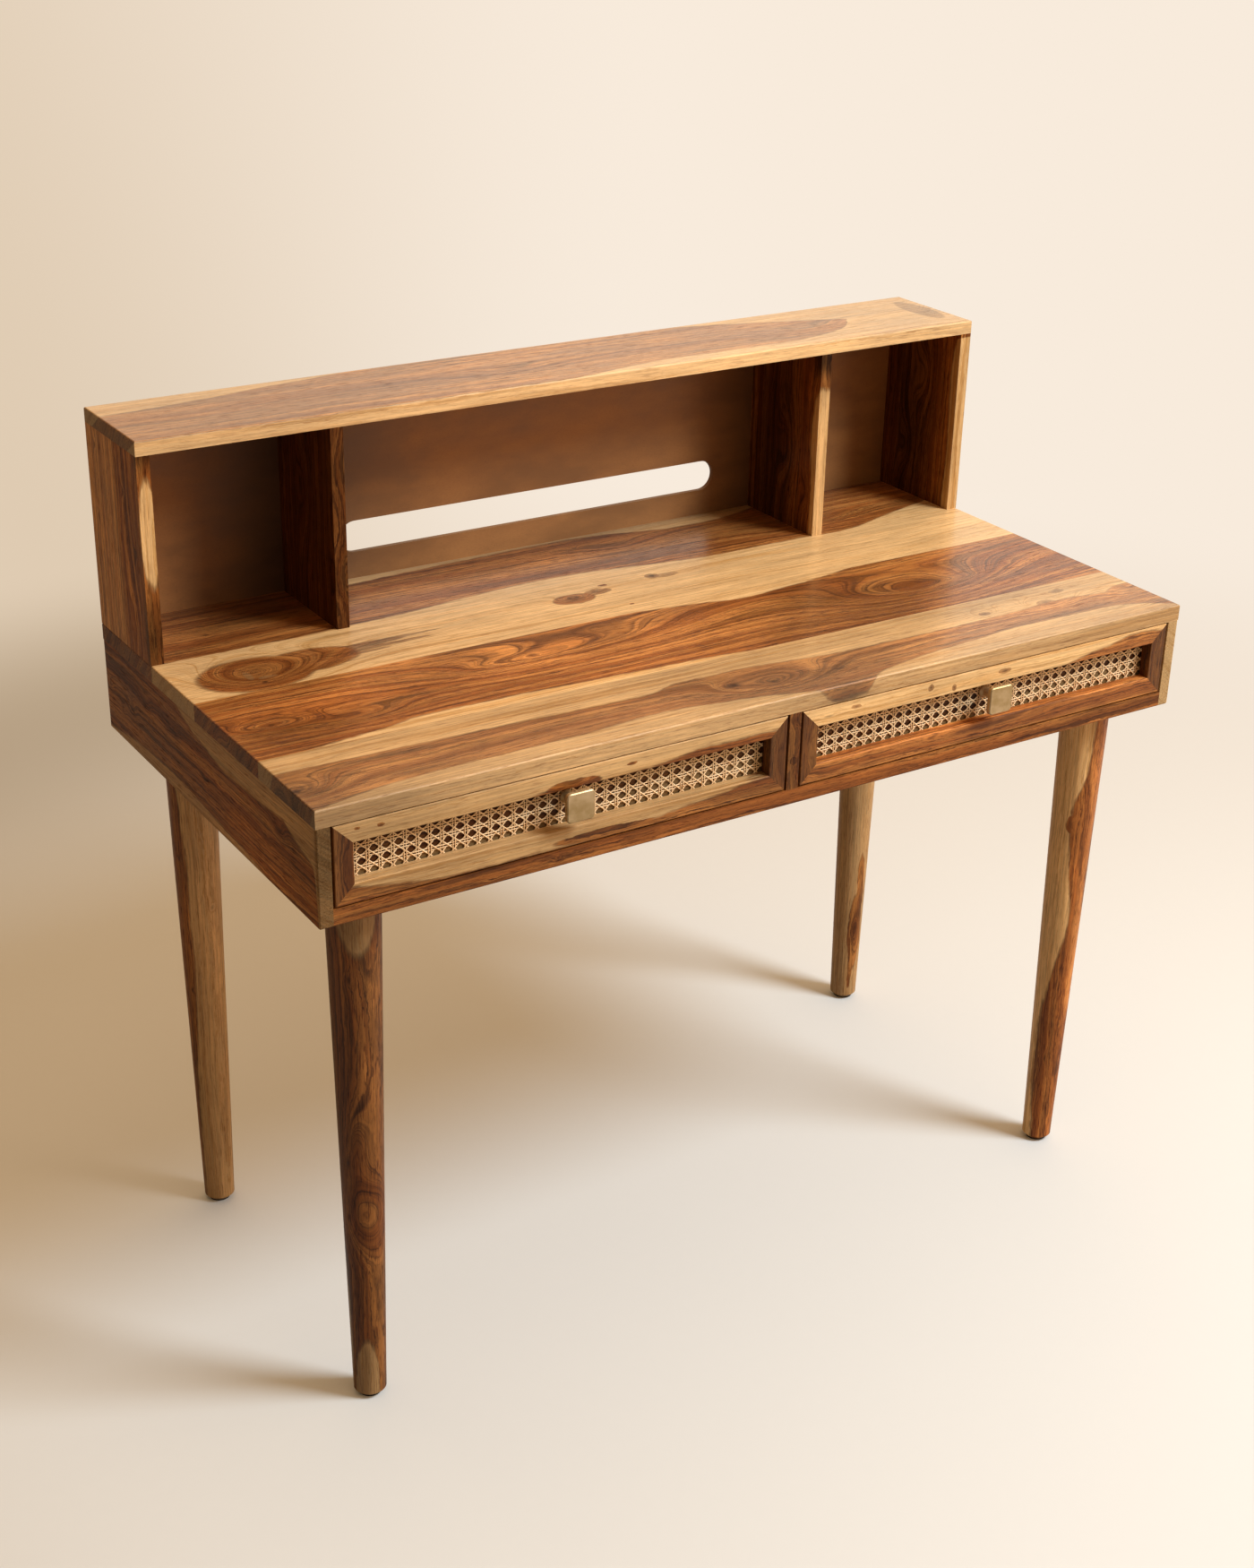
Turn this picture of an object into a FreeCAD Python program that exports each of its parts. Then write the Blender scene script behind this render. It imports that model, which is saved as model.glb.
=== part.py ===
import FreeCAD, Part
import math
import os
import re

import Sketcher
from FreeCAD import Placement, Rotation, Vector

# Driving dimensions in millimetres
SIZES = {
    # Whole desk
    "desk_width": 1100,             # over the ends of the desktop
    "desk_depth": 550,              # front edge to back edge of the desktop
    "desk_height": 750,             # floor to writing surface
    "case_height": 125,             # writing surface to the underside of the case
    "edge_easing": 2,               # rounding of the outer edges
    "cut_overrun": 2,               # how far a cutter runs past the face it starts from
    # Case boards
    "desktop_thickness": 19,
    "side_thickness": 15,
    "bottom_board_thickness": 18,
    "back_thickness": 15,
    "partition_thickness": 15,      # the stile in front of the partition is as wide
    "stile_depth": 24,
    "plug_radius": 4.5,
    "plug_depth": 6,
    "plug_rise": 33,                # plug axis above the case floor
    # Hutch
    "hutch_height": 245,            # writing surface to the top of the hutch
    "hutch_depth": 146,
    "hutch_top_thickness": 16,
    "hutch_side_thickness": 15,
    "hutch_bay_width": 202,         # clear width of each end bay
    "divider_thickness": 15,
    "hutch_back_thickness": 6,
    "hutch_rebate": 8,              # how far the back panel is let into sides and top
    "slot_end_margin": 57,          # divider to the round end of the slot
    "slot_height": 38,
    "slot_rise": 51,                # slot axis above the writing surface
    # Legs and feet
    "leg_inset": 66,                # leg axis from the desk's ends, front and back
    "leg_top_radius": 29,
    "leg_foot_radius": 18,
    "leg_foot_chamfer": 5,
    "glide_radius": 12.5,
    "glide_thickness": 2,
    "leg_bolt_radius": 5,
    "leg_bolt_length": 60,
    "tee_nut_radius": 13,
    "tee_nut_flange": 2,
    "tee_nut_barrel_radius": 6.5,
    "tee_nut_length": 14,
    # Tenons and screws
    "tenon_depth": 8,
    "tenon_thickness": 6,
    "case_tenon_length": 60,
    "back_tenon_length": 24,
    "hutch_tenon_length": 30,
    "fit_clearance": 0.15,          # mortises and holes over the tenons and shanks in them
    "screw_radius": 2,
    "screw_head_radius": 4,
    "screw_head_depth": 2.5,
    "screw_grip": 9,                # how far a wood screw reaches into the second piece
    "runner_screw_grip": 5,         # less, so screws from both sides of the partition miss
    "stile_screw_length": 40,
    # Drawer fronts
    "drawer_gap": 1.5,              # above and below a drawer front
    "drawer_side_gap": 2.5,         # beside a drawer front
    "frame_width": 21,              # face width of the mitred members
    "frame_thickness": 16,
    "frame_easing": 1.2,
    "cane_recess": 14,              # face of the frame back to the face of the cane
    "cane_thickness": 1.6,
    "cane_overlap": 6,              # rebate that holds the cane's border
    "cane_margin": 2,               # closed cane left around the outermost gaps
    "cane_column_pitch": 13.3,
    "cane_row_pitch": 11.5,
    "cane_hole_width": 7.4,
    "cane_hole_height": 6.8,
    # Drawer boxes
    "inner_front_thickness": 12,
    "box_side_thickness": 12,
    "box_back_thickness": 12,
    "box_bottom_thickness": 5,
    "box_height": 72,
    "box_lift": 5,                  # lower edge of the box above that of the front
    "box_side_gap": 6.5,            # box side to the wall of its bay
    "box_rear_gap": 60,             # box end to the case back
    "box_housing": 4,               # depth of the grooves and housings between box boards
    "box_bottom_rise": 7,           # bottom panel above the box's lower edge
    # Runners and stops
    "runner_height": 14,
    "runner_width": 12,
    "runner_clearance": 0.3,
    "runner_front_margin": 20,      # solid side left between inner front and runner groove
    "runner_side_play": 0.5,
    "drawer_travel": 300,
    "stop_length": 34,
    "stop_width": 22,
    "stop_catch": 6.5,              # how far a stop hangs below the top of the box
    # Knobs
    "knob_height": 30,              # face of the knob from the cane
    "knob_rise": 50,                # knob axis above the lower edge of the front
    "knob_width": 32,
    "knob_head_thickness": 5,
    "knob_corner_radius": 4.5,
    "knob_face_chamfer": 1,
    "knob_flange_radius": 7.5,
    "knob_flange_thickness": 2,
    "knob_neck_radius": 5,
    "knob_screw_radius": 2,
    "knob_screw_bite": 14,          # screw length inside the knob
    "knob_screw_head_radius": 4.5,
    "knob_screw_head_thickness": 2.6,
}

# Places along a board, as shares of its length
CASE_TENON_SHARES = (0.12, 0.5, 0.84)
HUTCH_TENON_SHARES = (0.25, 0.72)
BACK_TENON_SHARES = (0.3, 0.7)
RUNNER_SCREW_SHARES = (0.12, 0.88)
PANEL_SCREW_SHARES = (0.14, 0.86)
TOP_SCREW_SHARES = (-0.28, 0.28)

# Counts of sides: of the cane's open gaps, and of the small fasteners that are drawn without threads
GAP_CORNERS = 8
FASTENER_SIDES = 8

# Planes of the desk, as formulas of the sizes. The origin is on the floor, under the middle of the
# whole depth from the knob faces to the back.
FRONT = "(-(desk_depth - knob_height + cane_recess) / 2)"
BACK = "((desk_depth + knob_height - cane_recess) / 2)"
HALF_WIDTH = "(desk_width / 2)"
CASE_BASE = "(desk_height - case_height)"
CASE_FLOOR = f"({CASE_BASE} + bottom_board_thickness)"
CASE_ROOF = "(desk_height - desktop_thickness)"
BAY_HEIGHT = f"({CASE_ROOF} - {CASE_FLOOR})"
CASE_INNER_HALF = "(desk_width / 2 - side_thickness)"
BAY_WIDTH = f"({CASE_INNER_HALF} - partition_thickness / 2)"
BAY_CENTRE = f"(partition_thickness / 2 + {BAY_WIDTH} / 2)"
HUTCH_FRONT = f"({BACK} - hutch_depth)"
HUTCH_ROOF = "(desk_height + hutch_height - hutch_top_thickness)"
HUTCH_INNER_HALF = "(desk_width / 2 - hutch_side_thickness)"
DIVIDER_CENTRE = f"({HUTCH_INNER_HALF} - hutch_bay_width - divider_thickness / 2)"
MIDDLE_BAY_HALF = f"({DIVIDER_CENTRE} - divider_thickness / 2)"
PANEL_HEIGHT = "(hutch_height - hutch_top_thickness + hutch_rebate)"
LEG_LENGTH = f"({CASE_BASE} - glide_thickness)"

# Planes of a drawer
DRAWER_BASE = f"({CASE_FLOOR} + drawer_gap)"
DRAWER_HEIGHT = f"({BAY_HEIGHT} - 2 * drawer_gap)"
DRAWER_WIDTH = f"({BAY_WIDTH} - 2 * drawer_side_gap)"
FRAME_BACK = f"({FRONT} + frame_thickness)"
INNER_FRONT_BACK = f"({FRAME_BACK} + inner_front_thickness)"
BOX_BASE = f"({DRAWER_BASE} + box_lift)"
BOX_TOP = f"({BOX_BASE} + box_height)"
BOX_WIDTH = f"({BAY_WIDTH} - 2 * box_side_gap)"
BOX_INNER_WIDTH = f"({BOX_WIDTH} - 2 * box_side_thickness)"
BOX_END = f"({BACK} - back_thickness - box_rear_gap)"
BOX_SIDE_FRONT = f"({INNER_FRONT_BACK} - box_housing)"
RUNNER_BASE = f"({BOX_BASE} + box_height / 2 - runner_height / 2)"
RUNNER_FRONT = f"({INNER_FRONT_BACK} + runner_front_margin)"
RUNNER_LENGTH = f"({BOX_END} - {RUNNER_FRONT})"
KNOB_AXIS = f"({DRAWER_BASE} + knob_rise)"

doc = FreeCAD.newDocument("writing_desk")
sheet = doc.addObject("Spreadsheet::Sheet", "Sizes")
for row, (size_name, size) in enumerate(SIZES.items(), start=1):
    sheet.set(f"A{row}", size_name)
    sheet.set(f"B{row}", str(size))
    sheet.setAlias(f"B{row}", size_name)
sheet.recompute()

SIZE_NAME = re.compile(r"\b[a-z][a-z_]*[a-z]\b")
TURNS = {
    "x": Rotation(Vector(0, 1, 0), 90),
    "-x": Rotation(Vector(0, 1, 0), -90),
    "y": Rotation(Vector(1, 0, 0), -90),
    "-y": Rotation(Vector(1, 0, 0), 90),
    "z": Rotation(),
    "-z": Rotation(Vector(1, 0, 0), 180),
}
pieces = []


def cells(formula):
    """The formula with each size name turned into its cell of the sheet."""
    return SIZE_NAME.sub(lambda found: f"Sizes.{found.group()}", formula)


def bind(item, **formulas):
    """Tie properties of an object to formulas of the sizes."""
    for prop, formula in formulas.items():
        item.setExpression(prop, cells(formula))


def place(item, x, y, z, turn=None):
    """Put an object at a point given by three formulas, turned if need be."""
    if turn is not None:
        item.Placement = Placement(Vector(), turn)
    for axis, formula in zip("xyz", (x, y, z)):
        item.setExpression(f"Placement.Base.{axis}", cells(formula))


def keep(item):
    """Enter a finished piece, which its own name labels, in the list to be written."""
    pieces.append(item)


def box(name, size, corner):
    block = doc.addObject("Part::Box", name)
    bind(block, Length=size[0], Width=size[1], Height=size[2])
    place(block, *corner)
    return block


def eased_box(name, size, corner, easing, wanted):
    """A box with rounded edges; wanted(x, y, z) picks edges by their side of the middle, -1 to 1."""
    block = box(f"{name}_blank", size, corner)
    block.recompute()
    bounds = block.Shape.BoundBox
    half = Vector(bounds.XLength, bounds.YLength, bounds.ZLength) / 2
    chosen = []
    for index, edge in enumerate(block.Shape.Edges, start=1):
        offset = edge.CenterOfMass - bounds.Center
        if wanted(round(offset.x / half.x), round(offset.y / half.y), round(offset.z / half.z)):
            chosen.append(index)
    rounded = doc.addObject("Part::Fillet", name)
    rounded.Base = block
    radius = sheet.get(easing)
    rounded.Edges = [(index, radius, radius) for index in chosen]
    return rounded


def centred_box(name, size, middle, clearance="0"):
    """A box about its middle, larger on every side by a clearance."""
    grown = [f"({length} + 2 * {clearance})" for length in size]
    return box(name, grown, [f"{centre} - {length} / 2" for centre, length in zip(middle, grown)])


def rod(name, radius, length, start, along):
    """A round rod."""
    round_bar = doc.addObject("Part::Cylinder", name)
    bind(round_bar, Radius=radius, Height=length)
    place(round_bar, *start, turn=TURNS[along])
    return round_bar


def shank(name, radius, length, start, along):
    """A many-sided bar, for the small fasteners and the holes they sit in."""
    bar = doc.addObject("Part::Prism", name)
    bar.Polygon = FASTENER_SIDES
    bind(bar, Circumradius=radius, Height=length)
    place(bar, *start, turn=TURNS[along])
    return bar


def group(name, items):
    bundle = doc.addObject("Part::Compound", name)
    bundle.Links = items
    return bundle


def fuse(name, items):
    whole = doc.addObject("Part::MultiFuse", name)
    whole.Shapes = items
    return whole


def cut(name, base, tools):
    result = doc.addObject("Part::Cut", name)
    result.Base = base
    result.Tool = group(f"{name}_cuts", tools)
    return result


def shifted(point, along, distance):
    """A point moved along an axis by a formula."""
    index = "xyz".index(along[-1])
    sign = "-" if along.startswith("-") else "+"
    moved = list(point)
    moved[index] = f"({point[index]} {sign} {distance})"
    return moved


def tenons(name, middles, size):
    """Stub tenons that reach to both sides of a joint between boards, and the mortises for them."""
    tongues = []
    mortises = []
    for number, middle in enumerate(middles, start=1):
        tongues.append(centred_box(f"{name}_{number}", size, middle))
        mortises.append(centred_box(f"{name}_mortise_{number}", size, middle, "fit_clearance"))
    return tongues, mortises


def screw(name, length, start, along, clearance="0"):
    """A flat-headed wood screw from its head face, or with a clearance the hole for it."""
    head = shank(f"{name}_head", f"screw_head_radius + {clearance}", "screw_head_depth", start, along)
    stem = shank(f"{name}_stem", f"screw_radius + {clearance}", f"{length} + {clearance}", start, along)
    return fuse(name, [head, stem])


def screws(name, starts, length, along):
    """Screws of one row, and the holes for them."""
    driven = []
    holes = []
    for number, start in enumerate(starts, start=1):
        driven.append(screw(f"{name}_{number}", length, start, along))
        holes.append(screw(f"{name}_hole_{number}", length, start, along, "fit_clearance"))
    return driven, holes


def new_body(name):
    return doc.addObject("PartDesign::Body", name)


def origin_feature(body, role):
    return next(item for item in body.Origin.OriginFeatures if item.Role == role)


def outline(body, name, role, corners, offset="0"):
    """A closed sketch on an origin plane, each corner held by two bound dimensions."""
    sketch = body.newObject("Sketcher::SketchObject", name)
    sketch.AttachmentSupport = [(origin_feature(body, role), "")]
    sketch.MapMode = "FlatFace"
    sketch.setExpression("AttachmentOffset.Base.z", cells(offset))
    points = [Vector(math.cos(turn), math.sin(turn), 0) for turn in corner_turns(len(corners))]
    for index, point in enumerate(points):
        sketch.addGeometry(Part.LineSegment(point, points[(index + 1) % len(points)]))
    for index in range(len(points)):
        sketch.addConstraint(Sketcher.Constraint("Coincident", index, 2, (index + 1) % len(points), 1))
    for index, corner in enumerate(corners):
        for kind, formula, start in zip(("DistanceX", "DistanceY"), corner, points[index]):
            number = sketch.addConstraint(Sketcher.Constraint(kind, -1, 1, index, 1, start))
            sketch.setExpression(f"Constraints[{number}]", cells(formula))
    return sketch


def corner_turns(count):
    return [2 * math.pi * (index + 0.5) / count for index in range(count)]


def pad(body, sketch, name, length, backwards=False):
    feature = body.newObject("PartDesign::Pad", name)
    feature.Profile = sketch
    feature.Reversed = backwards
    bind(feature, Length=length)
    return feature


def pocket(body, sketch, name, depth):
    feature = body.newObject("PartDesign::Pocket", name)
    feature.Profile = sketch
    bind(feature, Length=depth)
    return feature


def turning(body, sketch, name):
    feature = body.newObject("PartDesign::Revolution", name)
    feature.Profile = sketch
    feature.ReferenceAxis = (origin_feature(body, "Z_Axis"), [""])
    feature.Angle = 360
    return feature


def dressed(body, base, name, kind, wanted):
    """A fillet or chamfer on the edges of a feature whose bounding box passes the test."""
    doc.recompute()
    feature = body.newObject(f"PartDesign::{kind}", name)
    edges = enumerate(base.Shape.Edges, start=1)
    feature.Base = (base, [f"Edge{index}" for index, edge in edges if wanted(edge.BoundBox)])
    return feature


def rounding(body, base, name, radius, wanted):
    feature = dressed(body, base, name, "Fillet", wanted)
    bind(feature, Radius=radius)
    return feature


def chamfer(body, base, name, size, wanted):
    feature = dressed(body, base, name, "Chamfer", wanted)
    bind(feature, Size=size)
    return feature


def near(value, target):
    return abs(value - target) < sheet.get("fit_clearance")


def along_board(start, length, shares):
    return [f"({start} + {length} * {share})" for share in shares]


def mirrored(x):
    """The same place on the left and on the right of the desk."""
    return (("left", f"(-{x})"), ("right", x))


def case():
    """Desktop, ends, bottom and back of the case, tenoned together, and the partition between the bays."""
    depth_places = along_board(FRONT, "desk_depth", CASE_TENON_SHARES)
    back_places = along_board(CASE_FLOOR, BAY_HEIGHT, BACK_TENON_SHARES)
    bottom_tenons = []
    back_tenons = []
    mortises = {}
    for side, x in mirrored(CASE_INNER_HALF):
        middles = [(x, y, f"({CASE_BASE} + bottom_board_thickness / 2)") for y in depth_places]
        tenon_size = ("2 * tenon_depth", "case_tenon_length", "tenon_thickness")
        tongues, mortises[side] = tenons(f"{side}_bottom_tenon", middles, tenon_size)
        bottom_tenons += tongues
        middles = [(x, f"({BACK} - back_thickness / 2)", z) for z in back_places]
        tenon_size = ("2 * tenon_depth", "tenon_thickness", "back_tenon_length")
        tongues, holes = tenons(f"{side}_back_tenon", middles, tenon_size)
        back_tenons += tongues
        mortises[side] += holes

    inner_width = f"2 * {CASE_INNER_HALF}"
    leg_nuts = leg_fixings()
    bottom_size = (inner_width, "desk_depth", "bottom_board_thickness")
    board = eased_box("bottom_board_stock", bottom_size, (f"-{CASE_INNER_HALF}", FRONT, CASE_BASE),
                      "edge_easing", lambda x, y, z: y == -1 and z == -1)
    keep(cut("case_bottom_board", fuse("bottom_board_blank", [board] + bottom_tenons), leg_nuts))

    back_size = (inner_width, "back_thickness", BAY_HEIGHT)
    back_corner = (f"-{CASE_INNER_HALF}", f"{BACK} - back_thickness", CASE_FLOOR)
    keep(fuse("case_back_board", [box("case_back_stock", back_size, back_corner)] + back_tenons))

    side_size = ("side_thickness", "desk_depth", f"{CASE_ROOF} - {CASE_BASE}")
    runner_holes = runners()
    top_mortises = []
    for side, outward, x in (("left", -1, f"-{HALF_WIDTH}"), ("right", 1, CASE_INNER_HALF)):
        stock = eased_box(f"{side}_side_stock", side_size, (x, FRONT, CASE_BASE), "edge_easing",
                          lambda x, y, z, end=outward: (x == end and z != 1) or (y != 0 and z == -1))
        middles = [(f"({x} + side_thickness / 2)", y, CASE_ROOF) for y in depth_places]
        tenon_size = ("tenon_thickness", "case_tenon_length", "2 * tenon_depth")
        tongues, holes = tenons(f"{side}_top_tenon", middles, tenon_size)
        top_mortises += holes
        panel = fuse(f"{side}_side_blank", [stock] + tongues)
        keep(cut(f"{side}_side_panel", panel, mortises[side] + runner_holes[side]))

    thickness = "partition_thickness"
    partition_front = f"({FRONT} + stile_depth)"
    partition_size = (thickness, f"{BACK} - back_thickness - {partition_front}", BAY_HEIGHT)
    stock = box("partition_stock", partition_size, (f"-{thickness} / 2", partition_front, CASE_FLOOR))
    plug_place = ("0", FRONT, f"({CASE_FLOOR} + plug_rise)")
    keep(rod("stile_plug", "plug_radius", "plug_depth", plug_place, "y"))
    screw_place = shifted(plug_place, "y", "plug_depth")
    keep(screw("stile_screw", "stile_screw_length", screw_place, "y"))
    screw_hole = screw("stile_screw_hole", "stile_screw_length", screw_place, "y", "fit_clearance")
    plug_start = shifted(plug_place, "y", "(-cut_overrun)")
    plug_hole = rod("plug_hole", "plug_radius + fit_clearance", "plug_depth + cut_overrun", plug_start, "y")
    keep(cut("centre_partition", stock, [screw_hole] + runner_holes["middle"]))
    stile_size = (thickness, "stile_depth", BAY_HEIGHT)
    stock = box("stile_stock", stile_size, (f"-{thickness} / 2", FRONT, CASE_FLOOR))
    keep(cut("centre_stile", stock, [screw_hole, plug_hole]))

    hutch_mortises = hutch()
    stop_holes = stops()
    desktop_size = ("desk_width", "desk_depth", "desktop_thickness")
    stock = eased_box("desktop_stock", desktop_size, (f"-{HALF_WIDTH}", FRONT, CASE_ROOF),
                      "edge_easing", lambda x, y, z: z == 1)
    keep(cut("desktop", stock, top_mortises + hutch_mortises + stop_holes))


def runners():
    """Wooden runners on the walls of both bays; returns the screw holes in each wall."""
    driven = []
    wall_holes = {"left": [], "middle": [], "right": []}
    inner_wall = "(partition_thickness / 2)"
    walls = (
        ("left_drawer_left", "left", f"(-{CASE_INNER_HALF})", "-x"),
        ("left_drawer_right", "middle", f"(-{inner_wall})", "x"),
        ("right_drawer_left", "middle", inner_wall, "-x"),
        ("right_drawer_right", "right", CASE_INNER_HALF, "x"),
    )
    for name, wall, x, into_wall in walls:
        into_bay = "x" if into_wall == "-x" else "-x"
        inner_face = shifted((x, "0", "0"), into_bay, "runner_width")[0]
        low_x = x if into_bay == "x" else inner_face
        stock = box(f"{name}_runner_stock", ("runner_width", RUNNER_LENGTH, "runner_height"),
                    (low_x, RUNNER_FRONT, RUNNER_BASE))
        middle_height = f"({RUNNER_BASE} + runner_height / 2)"
        starts = [(inner_face, y, middle_height)
                  for y in along_board(RUNNER_FRONT, RUNNER_LENGTH, RUNNER_SCREW_SHARES)]
        row, holes = screws(f"{name}_screw", starts, "(runner_width + runner_screw_grip)", into_wall)
        driven += row
        wall_holes[wall] += holes
        keep(cut(f"{name}_runner", stock, holes))
    keep(group("runner_screws", driven))
    return wall_holes


def stops():
    """Turn buttons under the desktop that catch the back of a drawer; returns their screw holes."""
    blocks = []
    driven = []
    all_holes = []
    rear = f"({BOX_END} - box_back_thickness - drawer_travel - runner_clearance)"
    height = f"({CASE_ROOF} - {BOX_TOP} + stop_catch)"
    base = f"({CASE_ROOF} - {height})"
    for side, x in mirrored(BAY_CENTRE):
        corner = (f"{x} - stop_width / 2", f"{rear} - stop_length", base)
        stock = box(f"{side}_stop_stock", ("stop_width", "stop_length", height), corner)
        start = (x, f"({rear} - stop_length / 2)", base)
        row, holes = screws(f"{side}_stop_screw", [start], f"({height} + screw_grip)", "z")
        blocks.append(cut(f"{side}_stop", stock, holes))
        driven += row
        all_holes += holes
    keep(group("drawer_stops", blocks))
    keep(group("drawer_stop_screws", driven))
    return all_holes


def hutch():
    """Top, ends, dividers and slotted back of the hutch; returns the mortises in the desktop."""
    panel_half = f"({HUTCH_INNER_HALF} + hutch_rebate)"
    panel_front = f"({BACK} - hutch_back_thickness)"
    screw_holes = hutch_back(panel_half, panel_front)
    wider = f"({panel_half} + fit_clearance)"
    rebate_size = (f"2 * {wider}", "hutch_back_thickness + cut_overrun", f"{PANEL_HEIGHT} + cut_overrun")
    rebate = box("hutch_rebate", rebate_size, (f"-{wider}", panel_front, "desk_height - cut_overrun"))

    side_size = ("hutch_side_thickness", "hutch_depth")
    divider_size = ("divider_thickness", "(hutch_depth - hutch_back_thickness)")
    side_middle = f"({HALF_WIDTH} - hutch_side_thickness / 2)"
    uprights = [(f"hutch_{side}_side", x, side_size) for side, x in mirrored(side_middle)]
    uprights += [(f"hutch_{side}_divider", x, divider_size) for side, x in mirrored(DIVIDER_CENTRE)]
    places = along_board(HUTCH_FRONT, "(hutch_depth - hutch_back_thickness)", HUTCH_TENON_SHARES)
    tenon_size = ("tenon_thickness", "hutch_tenon_length", "2 * tenon_depth")
    foot_mortises = []
    head_mortises = []
    for name, x, (thickness, depth) in uprights:
        stock = box(f"{name}_stock", (thickness, depth, f"{HUTCH_ROOF} - desk_height"),
                    (f"{x} - {thickness} / 2", HUTCH_FRONT, "desk_height"))
        feet, holes = tenons(f"{name}_foot", [(x, y, "desk_height") for y in places], tenon_size)
        foot_mortises += holes
        heads, holes = tenons(f"{name}_head", [(x, y, HUTCH_ROOF) for y in places], tenon_size)
        head_mortises += holes
        keep(cut(name, fuse(f"{name}_blank", [stock] + feet + heads), [rebate] + screw_holes))

    top_size = ("desk_width", "hutch_depth", "hutch_top_thickness")
    stock = eased_box("hutch_top_stock", top_size, (f"-{HALF_WIDTH}", HUTCH_FRONT, HUTCH_ROOF),
                      "edge_easing", lambda x, y, z: z == 1)
    keep(cut("hutch_top", stock, head_mortises + [rebate] + screw_holes))
    return foot_mortises


def hutch_back(panel_half, panel_front):
    """Thin back panel with a round-ended slot, screwed on from behind; returns the screw holes."""
    high = along_board("desk_height", PANEL_HEIGHT, PANEL_SCREW_SHARES)
    rebate_middle = f"({HUTCH_INNER_HALF} + hutch_rebate / 2)"
    starts = [(x, BACK, z) for _, x in mirrored(rebate_middle) + mirrored(DIVIDER_CENTRE) for z in high]
    top_middle = f"({HUTCH_ROOF} + hutch_rebate / 2)"
    starts += [(f"(desk_width * {share})", BACK, top_middle) for share in TOP_SCREW_SHARES]
    driven, holes = screws("back_panel_screw", starts, "(hutch_back_thickness + screw_grip)", "-y")
    keep(group("back_panel_screws", driven))

    stock = box("back_panel_stock", (f"2 * {panel_half}", "hutch_back_thickness", PANEL_HEIGHT),
                (f"-{panel_half}", panel_front, "desk_height"))
    straight = f"(2 * ({MIDDLE_BAY_HALF} - slot_end_margin) - slot_height)"
    through = "hutch_back_thickness + 2 * cut_overrun"
    cut_front = f"({panel_front} - cut_overrun)"
    axis_height = "(desk_height + slot_rise)"
    ends = [rod(f"slot_{side}_end", "slot_height / 2", through, (x, cut_front, axis_height), "y")
            for side, x in mirrored(f"({straight} / 2)")]
    middle = box("slot_middle", (straight, through, "slot_height"),
                 (f"-{straight} / 2", cut_front, f"{axis_height} - slot_height / 2"))
    slot = fuse("cable_slot", ends + [middle])
    keep(cut("hutch_back_panel", stock, [slot] + holes))
    return holes


def leg_places():
    inset_x = f"({HALF_WIDTH} - leg_inset)"
    for row, y in (("front", f"({FRONT} + leg_inset)"), ("rear", f"({BACK} - leg_inset)")):
        for side, x in mirrored(inset_x):
            yield f"{row}_{side}", x, y


def leg_fixings():
    """Hanger bolts and tee nuts over the legs; returns the holes they need in the bottom board."""
    bolts = []
    nuts = []
    holes = []
    flange_base = f"({CASE_FLOOR} - tee_nut_flange)"
    nut_base = f"({CASE_FLOOR} - tee_nut_length)"
    bolt_base = f"({CASE_FLOOR} - leg_bolt_length)"
    bore = "leg_bolt_radius + fit_clearance"
    for name, x, y in leg_places():
        bolt_start = (x, y, bolt_base)
        barrel_start = (x, y, nut_base)
        flange_start = (x, y, flange_base)
        bolts.append(shank(f"{name}_bolt", "leg_bolt_radius", "leg_bolt_length", bolt_start, "z"))
        flange = shank(f"{name}_nut_flange", "tee_nut_radius", "tee_nut_flange", flange_start, "z")
        barrel = shank(f"{name}_nut_barrel", "tee_nut_barrel_radius", "tee_nut_length", barrel_start, "z")
        bolt_hole = shank(f"{name}_bolt_hole", bore, "leg_bolt_length + cut_overrun", bolt_start, "z")
        nuts.append(cut(f"{name}_nut", fuse(f"{name}_nut_blank", [flange, barrel]), [bolt_hole]))
        holes.append(bolt_hole)
        holes.append(shank(f"{name}_flange_hole", "tee_nut_radius + fit_clearance",
                           "tee_nut_flange + cut_overrun", flange_start, "z"))
        holes.append(shank(f"{name}_barrel_hole", "tee_nut_barrel_radius + fit_clearance",
                           "tee_nut_length + cut_overrun", barrel_start, "z"))
    keep(group("leg_hanger_bolts", bolts))
    keep(group("leg_tee_nuts", nuts))
    return holes


def legs():
    """Turned legs, bored from above for the bolt, each on its stick-on glide."""
    bolt_bore = "leg_bolt_radius + fit_clearance"
    bolt_end = f"({LEG_LENGTH} + bottom_board_thickness - leg_bolt_length - fit_clearance)"
    leg_profile = [
        ("0", "0"),
        ("leg_foot_radius - leg_foot_chamfer", "0"),
        ("leg_foot_radius", "leg_foot_chamfer"),
        ("leg_top_radius", LEG_LENGTH),
        (bolt_bore, LEG_LENGTH),
        (bolt_bore, bolt_end),
        ("0", bolt_end),
    ]
    for name, x, y in leg_places():
        leg = new_body(f"{name}_leg")
        turning(leg, outline(leg, f"{name}_leg_profile", "XZ_Plane", leg_profile), f"{name}_leg_turning")
        place(leg, x, y, "glide_thickness")
        keep(leg)
        keep(rod(f"{name}_glide", "glide_radius", "glide_thickness", (x, y, "0"), "z"))


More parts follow.
